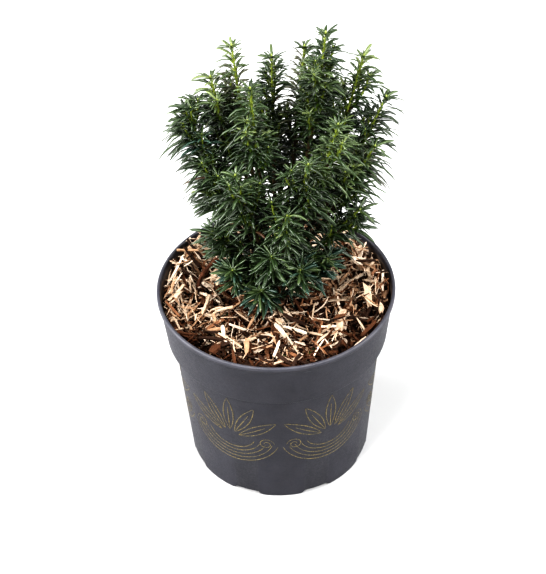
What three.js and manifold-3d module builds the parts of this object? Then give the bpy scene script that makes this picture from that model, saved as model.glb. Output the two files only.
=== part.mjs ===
// A dwarf English yew growing in a round nursery pot mulched with wood chips.
//
// Millimetres, +Z up, with the front of the plant towards -Y. The origin is the centre of the
// pot's flat underside. The plant is a short trunk that forks low down into slender boughs, and
// each bough carries one mass of needled shoots. Every mass keeps to its own space: the points
// that lie nearer to its stem than to the stem of any other mass.

import * as THREE from "three";
import { mergeVertices } from "three/addons/utils/BufferGeometryUtils.js";
import Module from "manifold-3d";

// ---------------------------------------------------------------- Driving dimensions

const GAP = 0.3; // air left between two neighbouring pieces

const POT = {
  height: 167,
  rimRadius: 95,
  lipHeight: 5,
  lipWidth: 2.8,
  collarDepth: 44,
  collarFootRadius: 88.8,
  bodyTopRadius: 83.6,
  bodyFootRadius: 73.6,
  bevel: 1.6,
  wall: 1.6,
  floor: 5,
  segments: 48,
  drainSlots: 8,
  drainSlotWidth: 24,
  drainSlotHeight: 3.8,
  drainSlotDepth: 7,
};

const GROUND = POT.height - 25; // the level of the mulch

const MULCH = {
  depth: 5,
  collarRadius: 12, // where the trunk comes up through it
  roughness: 1.3,
  wallRise: 12, // how much higher it lies at the wall than round the trunk
  riseFrom: 45, // the radius where that rise begins
  chips: 32,
  chipLength: 22,
  chipWidth: 7.5,
  chipThickness: 2.6,
};

const TRUNK = {
  height: 76,
  footRadius: 7.2,
  tipRadius: 4.6,
  flareRadius: 11,
  flareHeight: 9,
  lean: 3,
  sides: 10,
  steps: 8,
};

const BOUGH = {
  footRadius: 1.8,
  tipRadius: 1.5,
  sides: 5,
  steps: 3,
  lowestFork: 9, // above the foot of the trunk
  highestFork: 70,
  footOffset: 4, // from the middle of the trunk
};

const STEM = { footRadius: 2, tipRadius: 1, steps: 4 };

// The side shoots of each mass.
const TWIG = {
  perMass: 3,
  firstShare: 0.08, // where along the stem the lowest may start
  lastShare: 0.6, // and the highest
  footRadius: 1.7,
  tipRadius: 0.9,
  length: 40,
  lengthFall: 0.35, // how much shorter the highest are
  leaving: 32, // degrees from the stem
  rise: 0.4, // how far the tip turns up, as a share of the length
  turn: 2.1, // radians from one mass to the next
  steps: 2,
};

const NEEDLE = {
  lowLength: 28, // on the shortest limb
  topLength: 42, // and on the tallest
  inwardShare: 0.72, // the share of that length where a needle does not point out of the crown
  frontShare: 0.68, // and where it points straight to the front
  lowTipShare: 0.62, // the share left at the tip of a shoot, on the shortest limb
  topTipShare: 0.36, // and on the tallest
  width: 8.6,
  thickness: 1.7,
  pitch: 6.6, // along the shoot, from one needle to the next
  spacing: 5.2, // the least distance between the middle lines of two needles
  widestAt: 0.32, // the share of its length where a needle is widest
  lowDroop: 0.14, // how far the tip sinks, as a share of the length, on the shortest limb
  topDroop: 0.5, // and on the tallest
  openAngle: 56, // between needle and shoot at the foot of the shoot
  lowTipAngle: 58, // at its tip, on the shortest limb
  topTipAngle: 40, // and on the tallest
  lastShare: 0.985, // where along the shoot the topmost needle sits
};

const TRIM_STEPS = [1, 0.82, 0.66]; // a shoot or needle is shortened before it is left out

// One row for each mass: where its leading shoot ends. The azimuth runs from +X towards +Y, the
// reach is measured from the axis of the pot and the height from the mulch.
const MASSES = [
  { name: "left_outer", azimuth: 175, reach: 64, height: 204 },
  { name: "left_inner", azimuth: 161, reach: 46, height: 224 },
  { name: "left_tall", azimuth: 143, reach: 34, height: 248 },
  { name: "back_centre", azimuth: 88, reach: 51, height: 215 },
  { name: "right_inner", azimuth: 56, reach: 47, height: 232 },
  { name: "right_tall", azimuth: 20, reach: 44, height: 261 },
  { name: "right_upper", azimuth: 20, reach: 74, height: 232 },
  { name: "right_outer", azimuth: 7, reach: 86, height: 204 },
  { name: "front_left_tall", azimuth: 227, reach: 21, height: 235 },
  { name: "front_right", azimuth: 328, reach: 57, height: 211 },
  { name: "right_lower", azimuth: 352, reach: 77, height: 174 },
  { name: "front_upper", azimuth: 300, reach: 52, height: 186 },
  { name: "front_left_mid", azimuth: 237, reach: 50, height: 175 },
  { name: "left_mid", azimuth: 189, reach: 53, height: 160 },
  { name: "front_mid", azimuth: 281, reach: 51, height: 141 },
  { name: "right_low", azimuth: 342, reach: 68, height: 120 },
  { name: "left_low", azimuth: 198, reach: 49, height: 96 },
  { name: "front_low", azimuth: 253, reach: 44, height: 57 },
  { name: "front_right_low", azimuth: 293, reach: 49, height: 82 },
  { name: "back_left", azimuth: 122, reach: 65, height: 175 },
  { name: "back_right", azimuth: 51, reach: 77, height: 178 },
  { name: "back_left_low", azimuth: 140, reach: 59, height: 118 },
  { name: "back_low", azimuth: 83, reach: 62, height: 136 },
  { name: "back_right_low", azimuth: 35, reach: 61, height: 104 },
  { name: "front_centre_low", azimuth: 268, reach: 45, height: 98 },
  { name: "right_base", azimuth: 330, reach: 46, height: 72 },
  { name: "left_base", azimuth: 221, reach: 43, height: 68 },
  { name: "back_base", azimuth: 112, reach: 50, height: 78 },
];

// A low limb arches outwards and a tall one upwards. The bend of each limb is given as shares of
// its reach and of its rise, for the shortest limb and for the tallest.
const LEADER = {
  shortest: 57,
  tallest: 261,
  lowBend: { reach: 0.4, rise: 0.6 },
  topBend: { reach: 0.66, rise: 0.3 },
  bareShare: 0.36, // the share of each limb that is bough, below the foliage
  tuft: 5, // how far the needles stand up over the tip of the tallest limb
};

// ---------------------------------------------------------------- Small helpers

const UP = new THREE.Vector3(0, 0, 1);
const GOLDEN_TURN = THREE.MathUtils.degToRad(137.508);
const GOLDEN_SHARE = 0.618034;

const radians = THREE.MathUtils.degToRad;
const { lerp } = THREE.MathUtils;

// A repeatable number from 0 to 1 for a seed and a step: the fraction of a large sine.
function chance(seed, step) {
  const value = Math.sin(seed * 127.1 + step * 311.7) * 43758.5453;
  return value - Math.floor(value);
}

// The step-th of a run of shares from 0 to 1 that stay evenly spread however many are taken.
function evenShare(start, step) {
  return (start + step * GOLDEN_SHARE) % 1;
}

function around(azimuth, reach, height) {
  return new THREE.Vector3(reach * Math.cos(azimuth), reach * Math.sin(azimuth), height);
}

const wasm = await Module();
wasm.setup();

// A closed three.js geometry as a manifold-3d solid.
function solidOf(geometry) {
  const bare = geometry.clone();
  bare.deleteAttribute("normal");
  bare.deleteAttribute("uv");
  const merged = mergeVertices(bare, 1e-3);
  const mesh = new wasm.Mesh({
    numProp: 3,
    vertProperties: new Float32Array(merged.attributes.position.array),
    triVerts: new Uint32Array(merged.index.array),
  });
  return new wasm.Manifold(mesh);
}

// A manifold-3d solid as a three.js geometry.
function geometryOf(solid) {
  const mesh = solid.getMesh();
  const geometry = new THREE.BufferGeometry();
  geometry.setAttribute("position", new THREE.BufferAttribute(mesh.vertProperties, mesh.numProp));
  geometry.setIndex(new THREE.BufferAttribute(mesh.triVerts, 1));
  const flat = geometry.toNonIndexed();
  flat.computeVertexNormals();
  return flat;
}

// The largest body of a solid, without any loose scraps.
function mainBody(solid) {
  return solid.decompose().reduce((best, body) => (body.volume() > best.volume() ? body : best));
}

function fused(geometries) {
  return mainBody(geometries.map(solidOf).reduce((whole, piece) => whole.add(piece)));
}

// ---------------------------------------------------------------- Limbs

// A round, tapering limb along a curve: a capped cylinder whose rings are laid on the curve.
function limb(curve, radiusAt, sides, steps) {
  const geometry = new THREE.CylinderGeometry(1, 1, 1, sides, steps);
  const frames = curve.computeFrenetFrames(steps, false);
  const position = geometry.attributes.position;
  const corner = new THREE.Vector3();
  for (let i = 0; i < position.count; i++) {
    corner.fromBufferAttribute(position, i);
    const share = corner.y + 0.5;
    const ring = Math.round(share * steps);
    const radius = radiusAt(share);
    const place = curve
      .getPointAt(share)
      .addScaledVector(frames.normals[ring], corner.x * radius)
      .addScaledVector(frames.binormals[ring], -corner.z * radius);
    position.setXYZ(i, place.x, place.y, place.z);
  }
  return geometry;
}

const tapered = (foot, tip) => (share) => lerp(foot, tip, share);

// The trunk's line: it leans a little towards the back as it rises.
const trunkFoot = GROUND - MULCH.depth + GAP;
const trunkLine = new THREE.QuadraticBezierCurve3(
  new THREE.Vector3(0, 0, trunkFoot),
  new THREE.Vector3(0, 0, trunkFoot + TRUNK.height / 2),
  new THREE.Vector3(TRUNK.lean / 2, TRUNK.lean, trunkFoot + TRUNK.height),
);

// The trunk's radius: an even taper, with a root flare that dies away above the foot.
function trunkRadius(share) {
  const flare = Math.exp((-3 * share * TRUNK.height) / TRUNK.flareHeight);
  const taper = lerp(TRUNK.footRadius, TRUNK.tipRadius, share);
  return taper + (TRUNK.flareRadius - TRUNK.footRadius) * flare;
}

function trunkSolid(clearance) {
  return solidOf(
    limb(trunkLine, (share) => trunkRadius(share) + clearance, TRUNK.sides, TRUNK.steps),
  );
}

// The whole line of one limb, from inside the trunk to the tip of its leading shoot. The taller a
// limb, the higher it leaves the trunk, so limbs on the same side fan out without crossing.
function limbLine({ azimuth, reach, height, rank }) {
  const turn = radians(azimuth);
  const fork = lerp(BOUGH.lowestFork, BOUGH.highestFork, rank) / TRUNK.height;
  const foot = trunkLine.getPointAt(fork).add(around(turn, BOUGH.footOffset, 0));
  const tip = around(turn, reach, GROUND + height - LEADER.tuft * rank);
  const bendReach = reach * lerp(LEADER.lowBend.reach, LEADER.topBend.reach, rank);
  const bendRise = lerp(LEADER.lowBend.rise, LEADER.topBend.rise, rank);
  const bend = around(turn, bendReach, lerp(foot.z, tip.z, bendRise));
  return new THREE.QuadraticBezierCurve3(foot, bend, tip);
}

// The stretch of a curve between two shares of its length, as a curve of its own.
function stretch(curve, from, to) {
  const points = [];
  const parts = 6;
  for (let i = 0; i <= parts; i++) points.push(curve.getPointAt(lerp(from, to, i / parts)));
  return new THREE.CatmullRomCurve3(points);
}

const limbs = MASSES.map((mass, index) => {
  const rank = (mass.height - LEADER.shortest) / (LEADER.tallest - LEADER.shortest);
  const line = limbLine({ ...mass, rank });
  const gapShare = GAP / line.getLength();
  return {
    ...mass,
    rank,
    seed: index + 1,
    bough: stretch(line, 0, LEADER.bareShare - gapShare),
    stem: stretch(line, LEADER.bareShare, 1),
  };
});

function boughMesh({ bough }) {
  const radius = tapered(BOUGH.footRadius, BOUGH.tipRadius);
  const whole = solidOf(limb(bough, radius, BOUGH.sides, BOUGH.steps));
  return geometryOf(mainBody(whole.subtract(trunkSolid(GAP))));
}

// ---------------------------------------------------------------- The space of each mass

const stemLines = limbs.map(({ stem }) => stem.getPoints(8));
const boughLines = limbs.map(({ bough }) => bough.getPoints(6));
const trunkPoints = trunkLine.getPoints(6);

const segment = new THREE.Line3();
const nearest = new THREE.Vector3();

function distanceToLine(point, line) {
  let least = Infinity;
  for (let i = 1; i < line.length; i++) {
    segment.set(line[i - 1], line[i]);
    segment.closestPointToPoint(point, true, nearest);
    least = Math.min(least, nearest.distanceTo(point));
  }
  return least;
}

const SPACE_MARGIN = 0.6; // how much nearer to its own stem than to any other a point must be
const TWIG_CLEARANCE = 2.5; // from the side of any bough or of the trunk
const NEEDLE_CLEARANCE = 1.2;
const lowestNeedle = GROUND + 6; // above the highest wood chip

function inOwnSpace(point, mass) {
  const own = distanceToLine(point, stemLines[mass]);
  return stemLines.every(
    (line, other) => other === mass || distanceToLine(point, line) - own > SPACE_MARGIN,
  );
}

function clearOfLimbs(point, reach) {
  const clear = BOUGH.footRadius + reach;
  return (
    boughLines.every((line) => distanceToLine(point, line) > clear) &&
    distanceToLine(point, trunkPoints) > TRUNK.footRadius + reach
  );
}

function fits(points, mass, reach) {
  return points.every(
    (point) => point.z > lowestNeedle && inOwnSpace(point, mass) && clearOfLimbs(point, reach),
  );
}

// ---------------------------------------------------------------- Shoots and needles

// A side shoot: it leaves the stem at an angle and curves upwards.
function twigLine(stem, seed, step, trim) {
  const share = lerp(TWIG.firstShare, TWIG.lastShare, evenShare(0.35, step));
  const foot = stem.getPointAt(share);
  const along = stem.getTangentAt(share);
  const outward = new THREE.Vector3().crossVectors(UP, along).normalize();
  outward.applyAxisAngle(along, seed * TWIG.turn + step * GOLDEN_TURN);
  const heading = along.clone().multiplyScalar(Math.cos(radians(TWIG.leaving)));
  heading.addScaledVector(outward, Math.sin(radians(TWIG.leaving)));
  const spread = 0.8 + 0.4 * chance(seed, step);
  const length = TWIG.length * (1 - TWIG.lengthFall * share) * spread * trim;
  const bend = foot.clone().addScaledVector(heading, length / 2);
  const tip = foot.clone().addScaledVector(heading, length * (1 - TWIG.rise));
  tip.z += TWIG.rise * length;
  return new THREE.QuadraticBezierCurve3(foot, bend, tip);
}

function twigsOf({ stem, seed }, mass) {
  const outerHalf = (line) => [0.5, 0.75, 1].map((share) => line.getPointAt(share));
  const twigs = [];
  for (let step = 0; step < TWIG.perMass; step++) {
    const line = TRIM_STEPS.map((trim) => twigLine(stem, seed, step, trim)).find((tried) =>
      fits(outerHalf(tried), mass, TWIG_CLEARANCE),
    );
    if (line) twigs.push(line);
  }
  return twigs;
}

// Where the needle at a share of a shoot starts, and which way it points, turned round the shoot.
function needlePlace(shoot, share, turn, rank) {
  const root = shoot.getPointAt(share);
  const axis = shoot.getTangentAt(share);
  const across = new THREE.Vector3().crossVectors(UP, axis);
  if (across.lengthSq() < 1e-6) across.set(1, 0, 0);
  const outward = across.normalize().applyAxisAngle(axis, turn);
  const tipAngle = lerp(NEEDLE.lowTipAngle, NEEDLE.topTipAngle, rank);
  const angle = radians(lerp(NEEDLE.openAngle, tipAngle, share ** 1.5));
  const along = axis.clone().multiplyScalar(Math.cos(angle));
  along.addScaledVector(outward, Math.sin(angle));
  return { root, along, axis, droop: lerp(NEEDLE.lowDroop, NEEDLE.topDroop, rank) };
}

// The share of its length that a needle has for the way it points: all where it points straight
// out of the crown, less where it points across or inwards, and less on the sunny front.
function shareForWay({ root, along }) {
  const out = new THREE.Vector3(root.x, root.y, 0).normalize();
  const way = new THREE.Vector3(along.x, along.y, 0).normalize();
  const outward = THREE.MathUtils.smoothstep(out.dot(way), -0.2, 0.9);
  const frontward = THREE.MathUtils.smoothstep(-way.y, 0.3, 0.95);
  return lerp(NEEDLE.inwardShare, 1, outward) * lerp(1, NEEDLE.frontShare, frontward);
}

// A point of a needle, so far across it and so far up from its middle, at a share of its length.
// The tip droops.
function needlePoint({ root, along, axis, droop }, length, across, lift, share) {
  const side = new THREE.Vector3().crossVectors(axis, along).normalize();
  const up = new THREE.Vector3().crossVectors(along, side);
  const point = root.clone().addScaledVector(along, share * length);
  point.addScaledVector(side, across).addScaledVector(up, lift);
  if (share === 1) point.z -= droop * length;
  return point;
}

// A needle is a ridged blade of six faces: a sphere of three sides, drawn out from a root at its
// lower pole to a tip at its upper one, with the ridge on top and an edge on either side.
function needle(place, length) {
  const geometry = new THREE.SphereGeometry(1, 3, 2);
  const position = geometry.attributes.position;
  const halfWidth = NEEDLE.width / Math.sqrt(3);
  const halfThickness = NEEDLE.thickness / 1.5;
  for (let i = 0; i < position.count; i++) {
    const pole = Math.round(position.getY(i));
    const across = -position.getZ(i) * halfWidth;
    const lift = -position.getX(i) * halfThickness;
    const share = pole === 0 ? NEEDLE.widestAt : (pole + 1) / 2;
    const corner = needlePoint(place, length, across, lift, share);
    position.setXYZ(i, corner.x, corner.y, corner.z);
  }
  return geometry;
}

// The points of a needle's outline that have to stay in the space of its mass.
function needleOutline(place, length) {
  const half = NEEDLE.width / 2;
  const tip = needlePoint(place, length, 0, 0, 1);
  const edges = [-half, half].map((across) =>
    needlePoint(place, length, across, 0, NEEDLE.widestAt),
  );
  return [...edges, ...edges.map((edge) => edge.clone().lerp(tip, 0.5)), tip];
}

// The middle line of a needle, from where it is widest to its tip.
function needleLine(place, length) {
  const shares = [NEEDLE.widestAt, (NEEDLE.widestAt + 1) / 2, 1];
  return shares.map((share) => needlePoint(place, length, 0, 0, share));
}

function apart(line, other) {
  const near = (point, path) => distanceToLine(point, path) < NEEDLE.spacing;
  return !line.some((point) => near(point, other)) && !other.some((point) => near(point, line));
}

// Adds the needles of one shoot to those that its mass has so far. A needle that would leave the
// mass's space, touch a limb or run into another needle is shortened, and at last left out.
function addNeedles(needles, shoot, seed, mass) {
  const { rank } = limbs[mass];
  const fullLength = lerp(NEEDLE.lowLength, NEEDLE.topLength, rank);
  const tipShare = lerp(NEEDLE.lowTipShare, NEEDLE.topTipShare, rank);
  const count = Math.floor(shoot.getLength() / NEEDLE.pitch);
  for (let step = 0; step < count; step++) {
    const share = Math.min((step + 0.7) / count, NEEDLE.lastShare);
    const place = needlePlace(shoot, share, seed + step * GOLDEN_TURN, rank);
    const spread = shareForWay(place) * (0.9 + 0.2 * chance(seed, step));
    const full = fullLength * lerp(1, tipShare, share ** 2.5) * spread;
    const length = TRIM_STEPS.map((trim) => trim * full).find(
      (tried) =>
        fits(needleOutline(place, tried), mass, NEEDLE_CLEARANCE) &&
        needles.every(({ line }) => apart(needleLine(place, tried), line)),
    );
    if (length) needles.push({ line: needleLine(place, length), geometry: needle(place, length) });
  }
}

// A mass is one stem, its side shoots and all their needles, fused.
function massMesh(entry, mass) {
  const { stem, seed } = entry;
  const twigs = twigsOf(entry, mass);
  const stemRadius = tapered(STEM.footRadius, STEM.tipRadius);
  const twigRadius = tapered(TWIG.footRadius, TWIG.tipRadius);
  const wood = [
    limb(stem, stemRadius, 3, STEM.steps),
    ...twigs.map((twig) => limb(twig, twigRadius, 3, TWIG.steps)),
  ];
  const needles = [];
  [stem, ...twigs].forEach((shoot, step) => addNeedles(needles, shoot, seed * 10 + step, mass));
  return geometryOf(fused([...wood, ...needles.map(({ geometry }) => geometry)]));
}

// ---------------------------------------------------------------- Pot, root ball and mulch

// The pot's section, from the middle of its underside up the outside, over the lip and down.
function potProfile() {
  const shoulder = POT.height - POT.collarDepth;
  const lipFoot = POT.height - POT.lipHeight;
  const { rimRadius, bevel, wall, floor } = POT;
  return [
    [0, 0],
    [POT.bodyFootRadius - bevel, 0],
    [POT.bodyFootRadius, bevel],
    [POT.bodyTopRadius, shoulder - bevel],
    [POT.collarFootRadius, shoulder],
    [rimRadius - 1.4, lipFoot],
    [rimRadius, lipFoot + bevel],
    [rimRadius - 0.5, POT.height],
    [rimRadius - POT.lipWidth, POT.height],
    [rimRadius - POT.lipWidth - 0.2, lipFoot],
    [POT.collarFootRadius - wall, shoulder + wall],
    [POT.bodyTopRadius - wall, shoulder - bevel],
    [POT.bodyFootRadius - wall, floor],
    [0, floor],
  ];
}

// The inner radius of the pot at a height below its lip.
function innerRadius(height) {
  const shoulder = POT.height - POT.collarDepth;
  const foot = POT.bodyFootRadius - POT.wall;
  const top = POT.bodyTopRadius - POT.wall;
  if (height <= shoulder - POT.bevel) {
    return lerp(foot, top, (height - POT.floor) / (shoulder - POT.bevel - POT.floor));
  }
  const above = (height - shoulder - POT.wall) / (POT.collarDepth - POT.lipHeight - POT.wall);
  const rim = POT.rimRadius - POT.lipWidth - 0.2;
  return lerp(POT.collarFootRadius - POT.wall, rim, Math.max(above, 0));
}

// A solid of revolution about the vertical axis, from a closed section of [radius, height].
function turned(section, segments) {
  const points = section.map(([radius, height]) => new THREE.Vector2(radius, height));
  return new THREE.LatheGeometry(points, segments).rotateX(Math.PI / 2);
}

function potMesh() {
  let pot = solidOf(turned(potProfile(), POT.segments));
  for (let i = 0; i < POT.drainSlots; i++) {
    const slot = new THREE.BoxGeometry(
      2 * POT.drainSlotDepth,
      POT.drainSlotWidth,
      2 * POT.drainSlotHeight,
    );
    slot.translate(POT.bodyFootRadius, 0, 0).rotateZ(((i + 0.5) * 2 * Math.PI) / POT.drainSlots);
    pot = pot.subtract(solidOf(slot));
  }
  return geometryOf(pot);
}

function rootBallMesh() {
  const top = GROUND - MULCH.depth;
  const shoulder = POT.height - POT.collarDepth;
  const levels = [POT.floor + GAP, shoulder - POT.bevel, shoulder + POT.wall + GAP, top];
  const side = levels.map((level) => [innerRadius(level) - 2 * GAP, level]);
  return turned([[0, levels[0]], ...side, [0, top]], POT.segments);
}

// How much the mulch is banked up towards the pot's wall at a distance from the axis.
function bank(radius) {
  return MULCH.wallRise * THREE.MathUtils.smoothstep(radius, MULCH.riseFrom, POT.collarFootRadius);
}

// The mulch: a rough ring of fine bark with larger wood chips lying in it.
function mulchMesh() {
  const bottom = GROUND - MULCH.depth + GAP;
  const outer = innerRadius(bottom) - 2 * GAP;
  const rings = [MULCH.collarRadius, 30, 50, 68, outer];
  const section = [[outer, bottom], ...rings.toReversed().map((radius) => [radius, GROUND])];
  section.push([MULCH.collarRadius, bottom], [outer, bottom]);
  const bed = turned(section, POT.segments / 2);
  const position = bed.attributes.position;
  for (let i = 0; i < position.count; i++) {
    if (position.getZ(i) < GROUND - 0.1) continue;
    const [x, y] = [position.getX(i), position.getY(i)];
    const wave = Math.sin(x * 0.21 + 1) * Math.cos(y * 0.17) + Math.sin(x * 0.09 - y * 0.13);
    position.setZ(i, GROUND + bank(Math.hypot(x, y)) + (MULCH.roughness * wave) / 2);
  }
  const chips = [];
  for (let i = 0; i < MULCH.chips; i++) {
    const size = 0.7 + 0.6 * chance(3, i);
    const share = Math.sqrt((i + 0.5) / MULCH.chips);
    const reach = lerp(MULCH.collarRadius + 14, outer - 15, share);
    const chip = new THREE.BoxGeometry(
      MULCH.chipLength * size,
      MULCH.chipWidth * (0.6 + 0.7 * chance(5, i)),
      MULCH.chipThickness,
    );
    chip.rotateY(radians(22) * (chance(7, i) - 0.5)).rotateZ(Math.PI * 2 * chance(11, i));
    const place = around(i * GOLDEN_TURN, reach, GROUND + bank(reach) + 1);
    chips.push(chip.translate(place.x, place.y, place.z));
  }
  return geometryOf(fused([bed, ...chips]));
}

// ---------------------------------------------------------------- Assembly

const FINISHES = {
  pot: { color: "#4a4a50", roughness: 0.45 },
  soil: { color: "#2e1f14", roughness: 0.95 },
  mulch: { color: "#9c7350", roughness: 0.85 },
  bark: { color: "#6b4a33", roughness: 0.8 },
  foliage: { color: "#2c4a25", roughness: 0.5 },
};

const plant = new THREE.Group();

function place(name, geometry, finish) {
  const material = new THREE.MeshStandardMaterial({ ...FINISHES[finish], metalness: 0 });
  const mesh = new THREE.Mesh(geometry, material);
  mesh.name = name;
  plant.add(mesh);
}

place("pot", potMesh(), "pot");
place("root_ball", rootBallMesh(), "soil");
place("wood_chip_mulch", mulchMesh(), "mulch");
place("trunk", geometryOf(trunkSolid(0)), "bark");
limbs.forEach((entry) => place(`bough_${entry.name}`, boughMesh(entry), "bark"));
limbs.forEach((entry, mass) => place(`foliage_${entry.name}`, massMesh(entry, mass), "foliage"));

export default plant;
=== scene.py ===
# %% [markdown]
# # A potted English yew, dressed round a fixed frame
# The construction of this plant is already settled: a pot, its filling, a short trunk, slender
# boughs and the space that each mass of needles keeps to. This lesson loads that frame and gives
# every part its real surface: moulded plastic, settled wood chips, flaking bark, green shoots and
# several thousand needles. Sizes are in millimetres until a mesh is written, and +Z is up.

import bpy
import numpy as np
from mathutils import Matrix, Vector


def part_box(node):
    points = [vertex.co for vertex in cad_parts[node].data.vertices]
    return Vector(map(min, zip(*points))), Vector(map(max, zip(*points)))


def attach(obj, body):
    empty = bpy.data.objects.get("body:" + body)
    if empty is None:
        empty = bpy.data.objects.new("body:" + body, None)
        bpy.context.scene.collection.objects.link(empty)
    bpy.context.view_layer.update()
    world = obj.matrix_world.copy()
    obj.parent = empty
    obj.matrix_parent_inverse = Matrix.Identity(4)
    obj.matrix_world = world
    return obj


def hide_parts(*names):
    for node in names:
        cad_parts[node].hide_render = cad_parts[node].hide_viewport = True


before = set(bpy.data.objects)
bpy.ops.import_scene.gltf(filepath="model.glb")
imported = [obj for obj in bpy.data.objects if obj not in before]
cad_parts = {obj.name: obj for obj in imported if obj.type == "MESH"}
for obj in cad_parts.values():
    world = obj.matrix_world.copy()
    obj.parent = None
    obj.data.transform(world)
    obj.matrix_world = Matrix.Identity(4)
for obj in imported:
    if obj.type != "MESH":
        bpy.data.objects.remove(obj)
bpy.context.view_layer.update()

MM = 0.001
RIM_RADIUS, _, POT_HEIGHT = np.array(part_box("pot")[1]) / MM
MASS_NODES = sorted(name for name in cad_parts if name.startswith("foliage_"))
BOUGH_NODES = sorted(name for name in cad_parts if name.startswith("bough_"))
print("pot height and rim radius, mm:", POT_HEIGHT.round(1), RIM_RADIUS.round(1))
print("masses of foliage:", len(MASS_NODES), "boughs:", len(BOUGH_NODES))

# %% [markdown]
# # The camera
# A small plant is usually pictured from a standing person's height with a long lens, so that the
# rim of the pot shows as a calm ellipse and nothing is stretched. The camera backs off from the
# middle of the rim at its height angle. Its axes are written out as the columns of a matrix,
# because that also gives the slight roll of a hand-held picture.

# %% Camera
PICTURE, FOCAL_PIXELS, SENSOR, CLIP = (546, 574), 2000, 36.0, (0.05, 50)
CAMERA_DISTANCE = 1590.0
CAMERA_ELEVATION, CAMERA_ROLL = np.radians((42.1, -1.67))
RIM_CENTRE = np.array([0, 0, POT_HEIGHT])
AIM = RIM_CENTRE + [-2.3, -0.7, -0.8]


def stand(name, data, side, back, place):
    """Puts a camera or a light in its place. It looks against back and has side on its right."""
    thing = bpy.data.objects.new(name, data)
    matrix = np.eye(4)
    matrix[:3, :3] = np.column_stack([side, np.cross(back, side), back])
    matrix[:3, 3] = place * MM
    thing.matrix_world = Matrix(matrix.tolist())
    bpy.context.scene.collection.objects.link(thing)
    return thing


def make_camera():
    """Forward runs from the camera to its aim. Right is level, turned by the roll, and then made
    square to forward."""
    sine, cosine = np.sin(CAMERA_ELEVATION), np.cos(CAMERA_ELEVATION)
    place = RIM_CENTRE - np.array([0, cosine, -sine]) * CAMERA_DISTANCE
    forward = (AIM - place) / np.linalg.norm(AIM - place)
    level, upright = np.array([1.0, 0, 0]), np.array([0, sine, cosine])
    right = np.cos(CAMERA_ROLL) * level + np.sin(CAMERA_ROLL) * upright
    right = right - forward * (right @ forward)
    data = bpy.data.cameras.new("camera")
    data.lens = FOCAL_PIXELS / max(PICTURE) * SENSOR
    data.sensor_width = SENSOR
    data.clip_start, data.clip_end = CLIP
    right /= np.linalg.norm(right)
    bpy.context.scene.camera = stand("camera", data, right, -forward, place)
    return data.lens


print("lens, mm:", round(make_camera(), 1))

# %% [markdown]
# # Small tools for shapes
# Nearly everything here is a ring of corners carried along a path, so one function joins rings
# into closed skins and another writes arrays into a mesh. Doing it with whole arrays keeps
# thousands of needles fast, and every shape comes out closed, with its faces outwards.

# %% Numbers and vectors
UP = np.array([0.0, 0.0, 1.0])
GOLDEN_TURN = np.radians(137.508)
GOLDEN_SHARE = 0.618034


def between(low, high, share):
    """The value a share of the way from low to high."""
    return low + (high - low) * share


def unit(vectors):
    """Each vector divided by its own length."""
    return vectors / np.maximum(np.linalg.norm(vectors, axis=-1, keepdims=True), 1e-9)


def chance(seed, step):
    """A repeatable number from 0 to 1: what is left of a large sine without its whole part."""
    value = np.sin(seed * 127.1 + step * 311.7) * 43758.5453
    return value - np.floor(value)


def smooth_step(low, high, value):
    """0 below low, 1 above high, and 3t^2 - 2t^3 in between."""
    t = np.clip((value - low) / (high - low), 0, 1)
    return t * t * (3 - 2 * t)


def full_turn(steps):
    """Angles of so many even steps round a circle."""
    return np.arange(steps) * 2 * np.pi / steps


def on_circle(reach, turn, height):
    """The point at a reach from the axis of the pot, an angle round it and a height."""
    x, y = reach * np.cos(turn), reach * np.sin(turn)
    return np.stack([x, y, np.broadcast_to(height, x.shape)], axis=-1)


def around(azimuth, reach, height):
    """The same for an azimuth in degrees."""
    return on_circle(np.float64(reach), np.radians(azimuth), height)


def turned(first, second, angle):
    """Two directions that are square to each other, turned by an angle in their own plane."""
    sine, cosine = np.sin(angle), np.cos(angle)
    return first * cosine - second * sine, first * sine + second * cosine


# %% Skins and meshes
def closed_skins(rings):
    """Joins rings (shapes, stations, corners, 3) into closed skins.

    Side faces join neighbouring corners of neighbouring rings, and a flat cap closes each end.
    Returns the points, the four-sided faces and the caps."""
    shapes, stations, corners, _ = rings.shape
    index = np.arange(shapes * stations * corners).reshape(shapes, stations, corners)
    here, beyond = index[:, :-1], index[:, 1:]
    next_here, next_beyond = np.roll(here, -1, axis=2), np.roll(beyond, -1, axis=2)
    sides = np.stack([here, next_here, next_beyond, beyond], axis=-1).reshape(-1, 4)
    caps = np.concatenate([index[:, 0, ::-1], index[:, -1]])
    return rings.reshape(-1, 3), sides, caps


def faces_outward(points, face_sets):
    """Turns all faces round if the volume that they enclose comes out negative.

    The volume is a sixth of the sum of a . (b x c) over fans of triangles."""
    volume = 0.0
    for faces in face_sets:
        for k in range(1, faces.shape[1] - 1):
            a, b, c = points[faces[:, 0]], points[faces[:, k]], points[faces[:, k + 1]]
            volume += np.einsum("ij,ij->", a, np.cross(b, c))
    return face_sets if volume > 0 else [faces[:, ::-1] for faces in face_sets]


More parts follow.
